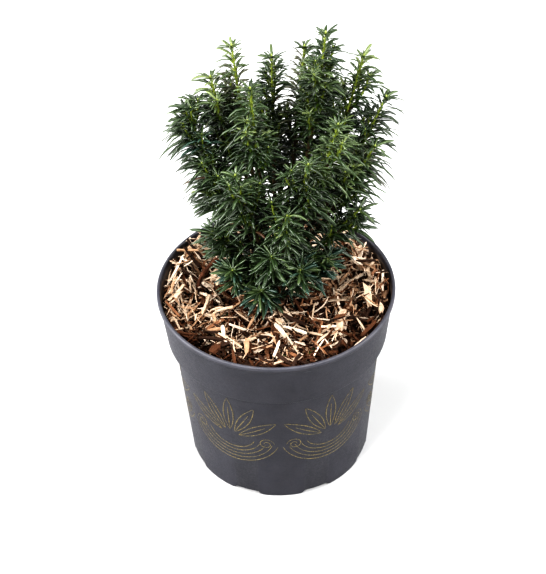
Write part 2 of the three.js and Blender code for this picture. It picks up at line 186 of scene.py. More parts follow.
def put_mesh(name, points, face_sets, finishes, slot, stands_for=(), smooth=True,
             finish_of_face=None, pattern=None):
    """Writes points in millimetres and sets of faces into a new piece that rides on the plant.

    Each face may have its finish by number, and each point a pattern coordinate (u, v), which
    becomes the UV map that the materials read."""
    face_sets = faces_outward(points, face_sets)
    corners = np.concatenate([faces.ravel() for faces in face_sets])
    sizes = np.concatenate([np.full(len(faces), faces.shape[1]) for faces in face_sets])
    starts = np.concatenate([[0], np.cumsum(sizes)[:-1]])
    mesh = bpy.data.meshes.new(name)
    mesh.vertices.add(len(points))
    mesh.vertices.foreach_set("co", (points * MM).astype(np.float32).ravel())
    mesh.loops.add(len(corners))
    mesh.loops.foreach_set("vertex_index", corners.astype(np.int32))
    mesh.polygons.add(len(sizes))
    mesh.polygons.foreach_set("loop_start", starts.astype(np.int32))
    mesh.polygons.foreach_set("use_smooth", np.full(len(sizes), smooth))
    for finish in finishes:
        mesh.materials.append(finish)
    if finish_of_face is not None:
        mesh.polygons.foreach_set("material_index", finish_of_face.astype(np.int32))
    if pattern is not None:
        layer = mesh.uv_layers.new(name="pattern")
        layer.data.foreach_set("uv", pattern[corners].astype(np.float32).ravel())
    mesh.update(calc_edges=True)
    piece = bpy.data.objects.new(name, mesh)
    bpy.context.scene.collection.objects.link(piece)
    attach(piece, "root")
    if stands_for:
        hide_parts(*stands_for)
    print(f"{name}: {int((sizes - 2).sum())} triangles")


def put_skins(name, rings, finishes, slot, stands_for=(), pattern=None, **options):
    """Joins rings into closed skins and writes them. A pattern is u and v for the rings' corners."""
    points, sides, caps = closed_skins(rings)
    if pattern is not None:
        pattern = [np.broadcast_to(part, rings.shape[:3]) for part in pattern]
        pattern = np.stack(pattern, axis=-1).reshape(-1, 2)
    put_mesh(name, points, [sides, caps], finishes, slot, stands_for, pattern=pattern, **options)


# %% Paths
def bezier(foot, bend, tip, count=49):
    """(1-t)^2 foot + 2t(1-t) bend + t^2 tip, respaced so that its points are evenly far apart."""
    t = np.linspace(0, 1, count)[:, None]
    return respaced((1 - t) ** 2 * foot + 2 * t * (1 - t) * bend + t**2 * tip, count)


def respaced(path, count):
    """The same path with count points, each as far along it from the last as the next."""
    walked = np.concatenate([[0], np.cumsum(np.linalg.norm(np.diff(path, axis=0), axis=1))])
    wanted = np.linspace(0, walked[-1], count)
    return np.stack([np.interp(wanted, walked, path[:, k]) for k in range(3)], axis=1)


def at(path, share):
    """The point at a share of an evenly spaced path."""
    steps = np.linspace(0, 1, len(path))
    return np.stack([np.interp(share, steps, path[:, k]) for k in range(3)], axis=-1)


def heading_at(path, share):
    """The direction of a path at a share, from the points just before and after it."""
    return unit(at(path, np.minimum(share + 0.02, 1)) - at(path, np.maximum(share - 0.02, 0)))


def stretch(path, start, end, count=25):
    """The part of a path between two shares of its length."""
    return at(path, np.linspace(start, end, count))


def length_of(path):
    """The sum of the distances between neighbouring points."""
    return float(np.linalg.norm(np.diff(path, axis=0), axis=1).sum())


def tubes(paths, radii, corners):
    """Rings round paths (shapes, stations, 3), with a radius for each station.

    One side direction is square to the path's start. At each other station, most of what lies
    along the path there is taken out of it."""
    along = unit(np.gradient(paths, axis=1))
    start = np.cross(along[:, 0], np.array([0.31, 0.67, 0.12]))[:, None, :]
    side = unit(unit(start) - along * np.sum(start * along, -1, keepdims=True))
    lift = np.cross(along, side)
    angle = full_turn(corners)[:, None]
    spokes = np.cos(angle) * side[:, :, None, :] + np.sin(angle) * lift[:, :, None, :]
    return paths[:, :, None, :] + spokes * np.asarray(radii)[..., None, None]


# %% [markdown]
# # Tools for finishes
# A finish is a little tree of shader nodes. Three effects come back in nearly every finish here,
# so each is a node group with named inputs and outputs, built once and placed in each material
# with its own values. **Mottle** gives soft and fine unevenness, **Streaks** gives marks that run
# one way, such as wood fibre or scratches, and **Settled dust** gathers on what faces upwards.
# The groups only put out masks and heights. The shader itself stays in the material.

# %% Node helpers
def add_node(tree, kind, inputs, **settings):
    """Adds a node, sets its options, and links or sets its inputs by name or number."""
    node = tree.nodes.new(kind)
    for name, value in settings.items():
        setattr(node, name, value)
    for name, value in inputs.items():
        if isinstance(value, bpy.types.NodeSocket):
            tree.links.new(value, node.inputs[name])
        else:
            node.inputs[name].default_value = value
    return node


def colour(code):
    """A display colour such as "4a4a50" as the linear colour that a shader works with."""
    shown = np.array([int(code[k : k + 2], 16) for k in (0, 2, 4)]) / 255
    linear = np.where(shown <= 0.04045, shown / 12.92, ((shown + 0.055) / 1.055) ** 2.4)
    return (*linear.tolist(), 1.0)


def reckon(tree, operation, *values, clamp=False):
    """One operation on values or sockets, as its output socket."""
    inputs = dict(enumerate(values))
    return add_node(tree, "ShaderNodeMath", inputs, operation=operation, use_clamp=clamp).outputs[0]


def scaled(tree, value, low, high, to_low=0.0, to_high=1.0):
    """A value stretched so that low becomes to_low and high becomes to_high."""
    inputs = {"Value": value, 1: low, 2: high, 3: to_low, 4: to_high}
    return add_node(tree, "ShaderNodeMapRange", inputs).outputs["Result"]


def noise(tree, place, scale, detail, roughness=0.5):
    """Soft noise from 0 to 1, with finer layers for its detail."""
    inputs = {"Vector": place, "Scale": scale, "Detail": detail, "Roughness": roughness}
    return add_node(tree, "ShaderNodeTexNoise", inputs).outputs["Fac"]


def new_group(name, inputs, build):
    """A shader node group. Its inputs are given with their first values, or none for a place, and
    build makes its named outputs from them."""
    tree = bpy.data.node_groups.new(name, "ShaderNodeTree")
    for label, value in inputs.items():
        kind = "NodeSocketFloat" if isinstance(value, float) else "NodeSocketVector"
        socket = tree.interface.new_socket(label, in_out="INPUT", socket_type=kind)
        if value is not None:
            socket.default_value = value
    made = build(tree, tree.nodes.new("NodeGroupInput").outputs)
    for label in made:
        tree.interface.new_socket(label, in_out="OUTPUT", socket_type="NodeSocketFloat")
    add_node(tree, "NodeGroupOutput", made)
    return tree


# %% The three shared effects
def build_mottle(tree, given):
    """Broad is soft noise, Fine is noise nine times smaller, and Height mixes the two."""
    fine_scale = reckon(tree, "MULTIPLY", given["Scale"], 9.0)
    broad = scaled(tree, noise(tree, given["Place"], given["Scale"], 3.0), 0.3, 0.7)
    fine = scaled(tree, noise(tree, given["Place"], fine_scale, 2.0), 0.3, 0.7)
    fine_part = reckon(tree, "MULTIPLY", fine, 0.6)
    height = reckon(tree, "MULTIPLY_ADD", broad, 0.4, fine_part)
    return {"Broad": broad, "Fine": fine, "Height": height}


def build_streaks(tree, given):
    """Noise squeezed along one way: the place is scaled by Stretch before the noise reads it.
    Marks are the top Share of it, cut out sharply."""
    inputs = {0: given["Place"], 1: given["Stretch"]}
    stretched = add_node(tree, "ShaderNodeVectorMath", inputs, operation="MULTIPLY").outputs[0]
    fibre = noise(tree, stretched, 1.0, 4.0, 0.6)
    over = reckon(tree, "SUBTRACT", fibre, reckon(tree, "SUBTRACT", 1.0, given["Share"]))
    marks = reckon(tree, "MULTIPLY", over, 12.0, clamp=True)
    return {"Fibre": scaled(tree, fibre, 0.3, 0.7), "Marks": marks}


def build_dust(tree, given):
    """Dust is where the surface faces up, times noise, times Amount, from 0 to 1."""
    axes = add_node(tree, "ShaderNodeSeparateXYZ", {0: given["Normal"]})
    facing = scaled(tree, axes.outputs["Z"], -0.4, 1.0, 0.25, 1.0)
    patches = scaled(tree, noise(tree, given["Place"], given["Scale"], 6.0, 0.7), 0.42, 0.68)
    dust = reckon(tree, "MULTIPLY", facing, patches)
    return {"Dust": reckon(tree, "MULTIPLY", dust, given["Amount"], clamp=True)}


MOTTLE = new_group("mottle", {"Place": None, "Scale": 60.0}, build_mottle)
STREAKS = new_group("streaks", {"Place": None, "Stretch": (1.0, 1.0, 1.0), "Share": 0.5}, build_streaks)
DUST = new_group("settled_dust", {"Place": None, "Normal": None, "Scale": 90.0, "Amount": 0.5}, build_dust)
print("shared effects:", MOTTLE.name, STREAKS.name, DUST.name)


# %% A finish in the making
class Finish:
    """A material with its node tree, its one Principled shader and its Object coordinates."""

    def __init__(self, name, **constants):
        self.material = bpy.data.materials.new(name)
        self.material.use_nodes = True
        self.tree = self.material.node_tree
        self.shader = self.tree.nodes["Principled BSDF"]
        for label, value in constants.items():
            self.shader.inputs[label.replace("_", " ")].default_value = value
        self.place = self.tree.nodes.new("ShaderNodeTexCoord").outputs["Object"]

    def effect(self, group, **inputs):
        """Places a shared effect. It reads the Object coordinates unless it is given a Place."""
        inputs = {"Place": self.place, **inputs}
        return add_node(self.tree, "ShaderNodeGroup", inputs, node_tree=group).outputs

    def dust(self, scale, amount):
        """The mask of the dust that settles on this finish."""
        normal = self.tree.nodes.new("ShaderNodeNewGeometry").outputs["Normal"]
        return self.effect(DUST, Normal=normal, Scale=scale, Amount=amount)["Dust"]

    def pattern(self):
        """The pattern coordinate that the piece itself carries."""
        return add_node(self.tree, "ShaderNodeUVMap", {}, uv_map="pattern").outputs["UV"]

    def mix(self, mask, first, second, share=1.0):
        """The first colour where the mask is 0, and a share of the second where it is 1."""
        if share < 1:
            mask = reckon(self.tree, "MULTIPLY", mask, share)
        first, second = (colour(c) if isinstance(c, str) else c for c in (first, second))
        inputs = {0: mask, 6: first, 7: second}
        return add_node(self.tree, "ShaderNodeMix", inputs, data_type="RGBA").outputs[2]

    def two_tone(self, scale, light, dark):
        """Mottle between a dark and a light colour, and the outputs of that mottle."""
        mottle = self.effect(MOTTLE, Scale=scale)
        return self.mix(mottle["Broad"], dark, light), mottle

    def rough(self, mask, low, high):
        """A roughness that runs from low to high with a mask."""
        return scaled(self.tree, mask, 0.0, 1.0, low, high)

    def done(self, base, height, depth, strength=1.0, roughness=None):
        """Links the colour, a bump that is so many millimetres deep, and the roughness."""
        inputs = {"Height": height, "Distance": depth * MM, "Strength": strength}
        bump = add_node(self.tree, "ShaderNodeBump", inputs).outputs["Normal"]
        self.tree.links.new(base, self.shader.inputs["Base Color"])
        self.tree.links.new(bump, self.shader.inputs["Normal"])
        if roughness is not None:
            self.tree.links.new(roughness, self.shader.inputs["Roughness"])
        return self.material


# %% [markdown]
# # The pot's plastic
# A nursery pot is moulded from recycled anthracite plastic. Its skin is satin with a very fine
# grain, it carries faint rub marks from stacking, and the inside is stained by moist soil. The
# inside is also painted much lighter than the plastic outside, as painted light against the shade
# in the pot. Its lip is painted paler than the plastic round it, as a painted highlight along the
# rim. Three finishes are made from one function, so that all share the same plastic underneath.

# %% Pot finishes
def plastic_finish(name, light, dark, stain, stain_amount, roughness):
    """Mottled plastic with rub marks and stains. Stains are rougher than the plastic."""
    finish = Finish(name, Specular_IOR_Level=0.36)
    plastic, mottle = finish.two_tone(55.0, light, dark)
    grain = finish.effect(MOTTLE, Scale=900.0)["Height"]
    rubs = finish.effect(STREAKS, Stretch=(60.0, 60.0, 420.0), Share=0.31)["Marks"]
    dust = finish.dust(130.0, stain_amount)
    plastic = finish.mix(rubs, plastic, "8d8c90", 0.22)
    plastic = finish.mix(dust, plastic, stain)
    rough = finish.rough(mottle["Fine"], roughness - 0.04, roughness + 0.06)
    rough = reckon(finish.tree, "MULTIPLY_ADD", dust, 0.3, rough)
    return finish.done(plastic, grain, 0.05, 0.5, rough)


pot_outside = plastic_finish("pot_plastic", "333339", "2b2b31", "6d655c", 0.08, 0.46)
# painted light: the inside is much lighter than the outside, against the shade in the pot, over real soil
# stains
pot_inside = plastic_finish("pot_plastic_stained_painted_light", "7d726a", "5c524c", "8d7460", 0.7, 0.62)
# painted highlight: the lip is paler than the plastic round it
pot_lip_highlight = plastic_finish("pot_plastic_lip_painted_highlight", "45454b", "3a3a40", "7a726a", 0.1, 0.42)

# %% [markdown]
# # The pot
# The pot is a solid of revolution: a section with rounded corners, turned round the vertical axis.
# Its foot has eight drain slots where the edge lifts off the ground. The slots are worked into
# the same grid, by raising the low stations of the section wherever the angle falls in a slot.
# A lathe modifier could turn the section too, but it could not lift the slots.

# %% Section of the pot
POT = {
    "height": float(POT_HEIGHT), "rim": float(RIM_RADIUS), "collar_depth": 44.0,
    "collar_foot": 88.8, "body_top": 83.6, "body_foot": 73.6, "wall": 1.6, "floor": 5.0,
    "lip_inside": 2.9, "lip_drop": 6.0, "segments": 240,
}
SLOT = {"count": 8, "width": 24.0, "height": 3.8, "depth": 7.0}
SHOULDER = POT["height"] - POT["collar_depth"]


def rounded(corners, steps=6):
    """A section of (radius, height, rounding) corners with each corner cut to a smooth bend.

    A bend starts its rounding before the corner and ends as far after it, on the curve
    (1-t)^2 start + 2t(1-t) corner + t^2 end. A corner with no rounding stays sharp."""
    corners = np.array(corners, float)
    points, rounding = corners[:, :2], corners[:, 2]
    made = [points[:1]]
    t = np.linspace(0, 1, steps)[:, None]
    for k in range(1, len(points) - 1):
        before, corner, after = points[k - 1 : k + 2]
        start = corner + unit(before - corner) * rounding[k]
        end = corner + unit(after - corner) * rounding[k]
        bend = (1 - t) ** 2 * start + 2 * t * (1 - t) * corner + t**2 * end
        made.append(bend if rounding[k] else corner[None])
    return np.concatenate([*made, points[-1:]])


def pot_section():
    """Up the outside from the middle of the base to the lip, and down the inside to the floor."""
    rim, wall, height = POT["rim"], POT["wall"], POT["height"]
    foot, top, collar = POT["body_foot"], POT["body_top"], POT["collar_foot"]
    outside = [
        (3.0, 1.4, 0), (foot - 11, 1.4, 0.8), (foot - 9, 0.0, 0.7), (foot, 0.0, 1.4),
        (foot + 0.24, 4.0, 0), (top, SHOULDER - 1.8, 0.7), (collar, SHOULDER, 1.0),
        (rim - 1.7, height - 5.4, 1.2), (rim, height - 3.9, 1.0), (rim, height, 1.5),
        (rim - 2.8, height, 1.1),
    ]
    inside = [
        (rim - POT["lip_inside"], height - POT["lip_drop"], 0.8),
        (collar - wall, SHOULDER + wall, 1.2), (top - wall, SHOULDER - 1.6, 1.0),
        (foot - wall, POT["floor"], 2.0), (3.0, POT["floor"], 0),
    ]
    return rounded(outside + inside)


def pot_rings():
    """Radius and height of the section at each angle, with the slots lifted out of the foot."""
    section = pot_section()
    angle, spacing = full_turn(POT["segments"]), 2 * np.pi / SLOT["count"]
    off_middle = np.abs((angle % spacing) - spacing / 2) * POT["body_foot"]
    in_slot = 1 - smooth_step(SLOT["width"] / 2 - 1.6, SLOT["width"] / 2 + 0.4, off_middle)
    slot_end = POT["body_foot"] - SLOT["depth"]
    deep = smooth_step(slot_end - 1, slot_end, section[:, 0])
    outside = np.arange(len(section)) < len(section) // 2
    lift = np.outer(deep * outside, in_slot) * SLOT["height"]
    return on_circle(section[:, :1], angle, np.maximum(section[:, 1:], lift))


# %% Make the pot
# the faces within so many stations of the lip's top take the lip finish with its painted highlight
LIP_STATIONS = 7
pot_grid = pot_rings()
highest = int(pot_grid[:, 0, 2].argmax())
past_top = np.repeat(np.arange(len(pot_grid) - 1), POT["segments"]) - highest
finish_of_side = np.where(past_top > LIP_STATIONS, 1, np.where(past_top > -LIP_STATIONS, 2, 0))
put_skins(
    "pot_shell", pot_grid[None], [pot_outside, pot_inside, pot_lip_highlight], "pot", ["pot"],
    finish_of_face=np.concatenate([finish_of_side, [0, 1]]),
)

# %% [markdown]
# # The print on the pot
# Such pots often carry a pale ornament, printed in one thin layer of dull gold. This one is a
# plain border of its own: fans of pointed leaves over nested arcs and scrolls. Each line is a thin
# closed strip that is bent round the pot's side, a tenth of a millimetre proud, as a layer of ink
# is. It could be painted in a shader, but real strips stay sharp at any distance and in the export.

# %% Lines of the ornament
PRINT = {"centre_height": 68.0, "line": 0.95, "proud": 0.12, "ink": 0.1, "repeats": 6, "steps": 24}
LEAF = {"length": 37.0, "vein": 0.72, "half_width": 4.4, "foot": 9.0, "leans": (-58, -29, 0, 29, 58)}
ARC = {"radii": (17.0, 21.0, 25.0, 29.0, 33.0), "half_turn": 72, "widened": 1.25, "centre": 6}
SCROLL = {"centre": (30, -1), "radii": (6.5, 1.6)}


def leaf_lines(lean):
    """Both edges and the vein of a pointed leaf: x = half_width * sin(pi t), leaning by an angle."""
    t = np.linspace(0, 1, PRINT["steps"])
    lines = []
    for side in (-1, 0, 1):
        x = side * LEAF["half_width"] * np.sin(np.pi * t) ** 0.8
        y = LEAF["foot"] + LEAF["length"] * t * (1.0 if side else LEAF["vein"])
        lines.append(turned(x, y, -np.radians(lean)))
    return lines


def arc_lines():
    """Nested arcs that hang under the fan, each a part of a widened circle."""
    angle = np.radians(np.linspace(-ARC["half_turn"], ARC["half_turn"], PRINT["steps"]))
    return [[radius * np.sin(angle) * ARC["widened"], ARC["centre"] - radius * np.cos(angle)]
            for radius in ARC["radii"]]


def scroll_lines():
    """A spiral either side of the fan: its radius falls evenly as it turns one and a half times."""
    angle = np.linspace(0, 3 * np.pi, PRINT["steps"])
    radius = between(*SCROLL["radii"], angle / angle[-1])
    x, y = SCROLL["centre"][0] + radius * np.cos(angle), SCROLL["centre"][1] + radius * np.sin(angle)
    return [[side * x, y] for side in (-1, 1)]


def side_radius(height):
    """The radius of the pot's straight side at a height."""
    return between(POT["body_foot"], POT["body_top"], (height - 2) / (SHOULDER - 4))


def strip_rings(lines, azimuth):
    """Each flat line (x, y) as a thin strip on the pot: x runs round the side and y up it."""
    flat = np.array(lines).transpose(0, 2, 1)
    along = unit(np.gradient(flat, axis=1))
    across = np.stack([-along[..., 1], along[..., 0]], axis=-1)
    ends = np.linspace(0, 1, flat.shape[1])
    half = PRINT["line"] / 2 * (0.55 + 0.45 * np.sin(np.pi * ends))[None, :, None]
    corners = []
    for side, depth in ((-1, 0), (1, 0), (1, 1), (-1, 1)):
        spot = flat + across * half * side
        height = PRINT["centre_height"] + spot[..., 1]
        radius = side_radius(height) + PRINT["proud"] - PRINT["ink"] * (1 - depth)
        corners.append(on_circle(radius, np.radians(azimuth) + spot[..., 0] / side_radius(height), height))
    return np.stack(corners, axis=2)


def print_finish():
    """Dull gold ink, worn through to the plastic in patches."""
    finish = Finish("dull_gold_ink", Specular_IOR_Level=0.4)
    ink, mottle = finish.two_tone(120.0, "7f7146", "665a38")
    worn = scaled(finish.tree, mottle["Fine"], 0.35, 0.75)
    ink = finish.mix(worn, "44413a", ink)
    return finish.done(ink, mottle["Height"], 0.04, 0.4, finish.rough(worn, 0.5, 0.38))


motif = [line for lean in LEAF["leans"] for line in leaf_lines(lean)] + arc_lines() + scroll_lines()
azimuths = -90 + 360 / PRINT["repeats"] * (np.arange(PRINT["repeats"]) + 0.5)
strips = np.concatenate([strip_rings(motif, azimuth) for azimuth in azimuths])
put_skins("printed_border", strips, [print_finish()], "pot")

# %% [markdown]
# # The filling of the pot
# Under the wood chips lies dark, fibrous potting soil. The ball of soil keeps its shape from the
# frame and only gets a finish. The bed that shows between the chips is made new: rings round
# the trunk whose height is a sum of long and short waves. The mulch is banked up towards the wall
# at the back and the sides, and stays low at the front.

# %% Soil finish and bed
MULCH_BELOW_RIM = 25.0
GROUND = POT["height"] - MULCH_BELOW_RIM
BED = {
    "inner": 6.5, "foot": 88.3, "outer": 89.4, "depth": 4.6, "rings": 56, "segments": 140,
    "wall_rise": 12.0, "rise_from": 45.0, "front_rise": 0.1, "long_waves": 2.4, "short_waves": 1.6,
}


def soil_finish():
    """Dark earth with paler fibres."""
    finish = Finish("dark_potting_soil", Roughness=0.95, Specular_IOR_Level=0.2)
    earth, mottle = finish.two_tone(190.0, "3c2211", "180b04")
    earth = finish.mix(mottle["Fine"], earth, "5a3a22", 0.5)
    return finish.done(earth, mottle["Height"], 1.2)


def waves(x, y, seeds, shortest):
    """A sum of sloping waves: each is cos(kx x + ky y + phase) with a length from its seed."""
    total = 0.0
    for seed in seeds:
        length = shortest * (1 + 2.5 * chance(seed, 1))
        turn, phase = 2 * np.pi * chance(seed, 2), 2 * np.pi * chance(seed, 3)
        total = total + np.cos(2 * np.pi / length * (x * np.cos(turn) + y * np.sin(turn)) + phase)
    return total / len(seeds)


def bed_height(x, y):
    """Broad waves over a bank that rises evenly from a radius to the wall, all but at the front."""
    reach = np.hypot(x, y)
    bank = BED["wall_rise"] * smooth_step(BED["rise_from"], BED["outer"], reach)
    bank = bank * between(BED["front_rise"], 1, smooth_step(-0.85, 0.2, y / np.maximum(reach, 1)))
    return GROUND - 1.0 + BED["long_waves"] * waves(x, y, range(40, 52), 22) + bank


def bed_rings():
    """Rings of growing radius. The first and last rings close under the bed."""
    reach = np.linspace(BED["inner"], BED["outer"], BED["rings"])[:, None]
    top = on_circle(reach, full_turn(BED["segments"])[None, :], 0)
    x, y = top[..., 0], top[..., 1]
    top[..., 2] = bed_height(x, y) + BED["short_waves"] * waves(x, y, range(60, 76), 5)
    under = top[[-1, 0]].copy()
    under[0] *= BED["foot"] / BED["outer"]
    under[..., 2] = GROUND - BED["depth"]
    return np.concatenate([under[1:], top, under[:1]])


dark_soil = soil_finish()
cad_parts["root_ball"].data.materials.clear()
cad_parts["root_ball"].data.materials.append(dark_soil)
bed = bed_rings()
points, sides, _ = closed_skins(bed[None])
first_ring = np.arange(BED["segments"])
last_ring = (len(bed) - 1) * BED["segments"] + first_ring
under_faces = [last_ring, np.roll(last_ring, -1), np.roll(first_ring, -1), first_ring]
put_mesh("mulch_bed", points, [sides, np.stack(under_faces, axis=-1)], [dark_soil], "soil",
         ["wood_chip_mulch"])

# %% [markdown]
# # Wood chips
# The mulch is chipped softwood: long splinters, blocks and crumbs, cream where freshly split and
# brown to nearly black where bark is left on. No two chips are alike and each rests on the ones
# below. So every chip gets its own length, width, bow and torn ends from one set of random
# arrays, and the chips are laid down one after another on a height map: a chip comes to rest on
# the highest points under its two halves, and then raises the map where it lies. Rigid body
# simulation would do the same thing slower. Where they lie changes their tint a little, as painted
# shade and painted light: in front, most chips near the front wall, which shades them, and a few
# further in are turned brown or as dark as bark, and at the open left side, where more light
# falls, some dark ones are turned tan or straw.

# %% Chip sizes
chip_rng = np.random.default_rng(5)
CHIP_TINTS = {
    "cream": ("ebddcf", "cab59d"), "straw": ("dcccba", "ad9276"), "tan": ("c1a48a", "896a4e"),
    "rust": ("966e50", "5e402c"), "brown": ("69442d", "3b2411"), "bark": ("422d20", "22140b"),
}
# count, lengths, share of the length that is width, thickest, layer, and shares of the six tints
CHIP_KINDS = {
    "fines": (4600, (1.5, 5.5), (0.2, 0.5), 1.5, 0.12, (0.08, 0.09, 0.14, 0.19, 0.26, 0.24)),
    "splinters": (3000, (4.0, 21.0), (0.04, 0.165), 1.5, 0.3, (0.2, 0.21, 0.18, 0.13, 0.14, 0.14)),
    "blocks": (110, (6.0, 15.0), (0.24, 0.46), 3.6, 0.45, (0.2, 0.28, 0.24, 0.16, 0.08, 0.04)),
}
CHIP_WIDTHS, CHIP_THINNEST = (0.6, 9.5), 0.4


def draw_chips():
    """Random sizes for every kind. Lengths are even on a log scale, so small ones are common."""
    drawn = []
    for count, lengths, slender, thickest, lowest_layer, shares in CHIP_KINDS.values():
        length = np.exp(chip_rng.uniform(*np.log(lengths), count))
        width = np.clip(length * chip_rng.uniform(*slender, count), *CHIP_WIDTHS)
        thick = np.clip(width * chip_rng.uniform(0.3, 0.7, count), CHIP_THINNEST, thickest)
        tint = chip_rng.choice(len(CHIP_TINTS), count, p=shares)
        layer = chip_rng.random(count) + lowest_layer
        drawn.append(np.stack([length, width, thick, tint, layer]))
    drawn = np.concatenate(drawn, axis=1)
    return drawn[:, np.argsort(drawn[4])]


chip_length, chip_width, chip_thick, chip_tint, _ = draw_chips()
CHIPS = len(chip_length)
print("chips:", CHIPS, "longest and mean, mm:", chip_length.max().round(1), chip_length.mean().round(1))


# %% Lay the chips
CELL = 1.5
MAP_SIDE = int(2 * BED["outer"] / CELL) + 8
LAY = {
    "wall_gap": 0.4, "trunk_gap": 9.0, "along_wall": 8.0, "yaw_spread": 0.8, "tilt_spread": 0.14,
    "apart": 0.67, "steepest": 0.7, "sink": 0.75, "packing": 0.5,
}
# painted shade in the chips' tints near the front wall, and painted light at the open left side
PAINTED_SHADE = {"reach": (60.0, 78.0), "front": (0.15, 0.55), "share": 0.9, "inner_share": 0.16, "brown": 0.4}
PAINTED_LIGHT = {"reach": (40.0, 60.0), "side": (0.45, 0.75), "share": 0.5, "straw": 0.5}


def inner_wall(height):
    """The inner radius of the pot's collar at a height: even from its foot to its lip."""
    foot, lip = SHOULDER + POT["wall"], POT["height"] - POT["lip_drop"]
    share = np.clip((height - foot) / (lip - foot), 0, 1)
    inside = between(POT["collar_foot"] - POT["wall"], POT["rim"] - POT["lip_inside"], share)
    return inside - LAY["wall_gap"]


def cell_of(x, y):
    """Row and column of the height map under each point."""
    return tuple(np.clip(((v / CELL) + MAP_SIDE / 2).astype(int), 0, MAP_SIDE - 1) for v in (x, y))


def lay_chips(length, width, thick, count):
    """Rests each chip on the height map. Returns its middle, direction and slope.

    The slope is the rise between the highest points under its halves over two thirds of its
    length, and the middle is as high as the most pressing point under it."""
    middles = (np.arange(MAP_SIDE) - MAP_SIDE / 2 + 0.5) * CELL
    height = bed_height(*np.meshgrid(middles, middles, indexing="ij"))
    wall = float(inner_wall(GROUND + BED["wall_rise"]))
    reach = np.sqrt(chip_rng.random(count)) * wall
    turn, yaw = chip_rng.random(count) * 2 * np.pi, chip_rng.random(count) * 2 * np.pi
    along_wall = turn + np.pi / 2 + chip_rng.normal(0, LAY["yaw_spread"], count)
    yaw = np.where(reach > wall - LAY["along_wall"], along_wall, yaw)
    tilt = chip_rng.normal(0, LAY["tilt_spread"], count)
    places, slopes = np.zeros((count, 3)), np.zeros(count)
    u, v = np.meshgrid(np.linspace(-0.5, 0.5, 7), np.linspace(-0.5, 0.5, 3))
    for k in range(count):
        most = wall - 0.5 * length[k] * abs(np.cos(yaw[k] - turn[k])) - 0.9 * width[k]
        middle = max(min(reach[k], most), LAY["trunk_gap"]) * np.array([np.cos(turn[k]), np.sin(turn[k])])
        along = u * length[k]
        x, y = turned(along, v * width[k], yaw[k])
        cells = cell_of(middle[0] + x, middle[1] + y)
        under = height[cells]
        rise = under[:, 5:].max() - under[:, :2].max()
        slope = rise / (length[k] * LAY["apart"]) + tilt[k]
        slopes[k] = np.clip(slope, -LAY["steepest"], LAY["steepest"])
        rest = between(under.mean(), (under - slopes[k] * along).max(), LAY["sink"])
        places[k] = [*middle, rest + thick[k] * 0.5]
        top = rest + slopes[k] * along + thick[k] * LAY["packing"]
        height[cells] = np.maximum(under, top)
    return places, yaw, slopes


def tints_with_painted_light_and_shade(tint, place):
    """Paints shade and light into the tints. In front, most chips near the front wall, which shades
    them, and a few further in are turned brown or as dark as bark, as painted shade. At the open
    left side, where more light falls, some of the dark ones are turned tan or straw, as painted light."""
    number = {name: k for k, name in enumerate(CHIP_TINTS)}
    reach = np.maximum(np.hypot(place[:, 0], place[:, 1]), 1)
    near_wall = smooth_step(*PAINTED_SHADE["reach"], reach)
    in_front = smooth_step(*PAINTED_SHADE["front"], -place[:, 1] / reach)
    at_side = smooth_step(*PAINTED_LIGHT["side"], -place[:, 0] / reach) * smooth_step(*PAINTED_LIGHT["reach"], reach)
    shade_painted = chip_rng.random(CHIPS) < PAINTED_SHADE["share"] * between(PAINTED_SHADE["inner_share"], 1, near_wall) * in_front
    light_painted = (chip_rng.random(CHIPS) < PAINTED_LIGHT["share"] * at_side) & (tint >= number["brown"]) & ~shade_painted
    pick = chip_rng.random(CHIPS)
    shade_tint = np.where(pick < PAINTED_SHADE["brown"], number["brown"], number["bark"])
    light_tint = np.where(pick < PAINTED_LIGHT["straw"], number["straw"], number["tan"])
    return np.where(light_painted, light_tint, np.where(shade_painted, shade_tint, tint))


chip_place, chip_yaw, chip_slope = lay_chips(chip_length, chip_width, chip_thick, CHIPS)
# paints shade and light into the chips' tints by where they lie
chip_tint = tints_with_painted_light_and_shade(chip_tint, chip_place)
chip_span = chip_place[:, 2].min() - GROUND, chip_place[:, 2].max() - GROUND
print("chips lie between, mm over the mulch level:", np.round(chip_span, 1))


# %% Shape the chips
CHIP_STATIONS = np.array([0, 0.22, 0.5, 0.8, 1.0])[None, :, None]
# how narrow the ends are and how fast they widen, how far the rest varies, and the length in
# widths up to which a chip stays straight
CHIP_FORM = {
    "ends": (0.45, 1.0), "widening": 3.5, "uneven": 0.09, "bow": 0.05, "straight": 2.2,
    "arch": 0.035, "torn": 0.28, "torn_between": 0.15, "roll": 0.28,
}


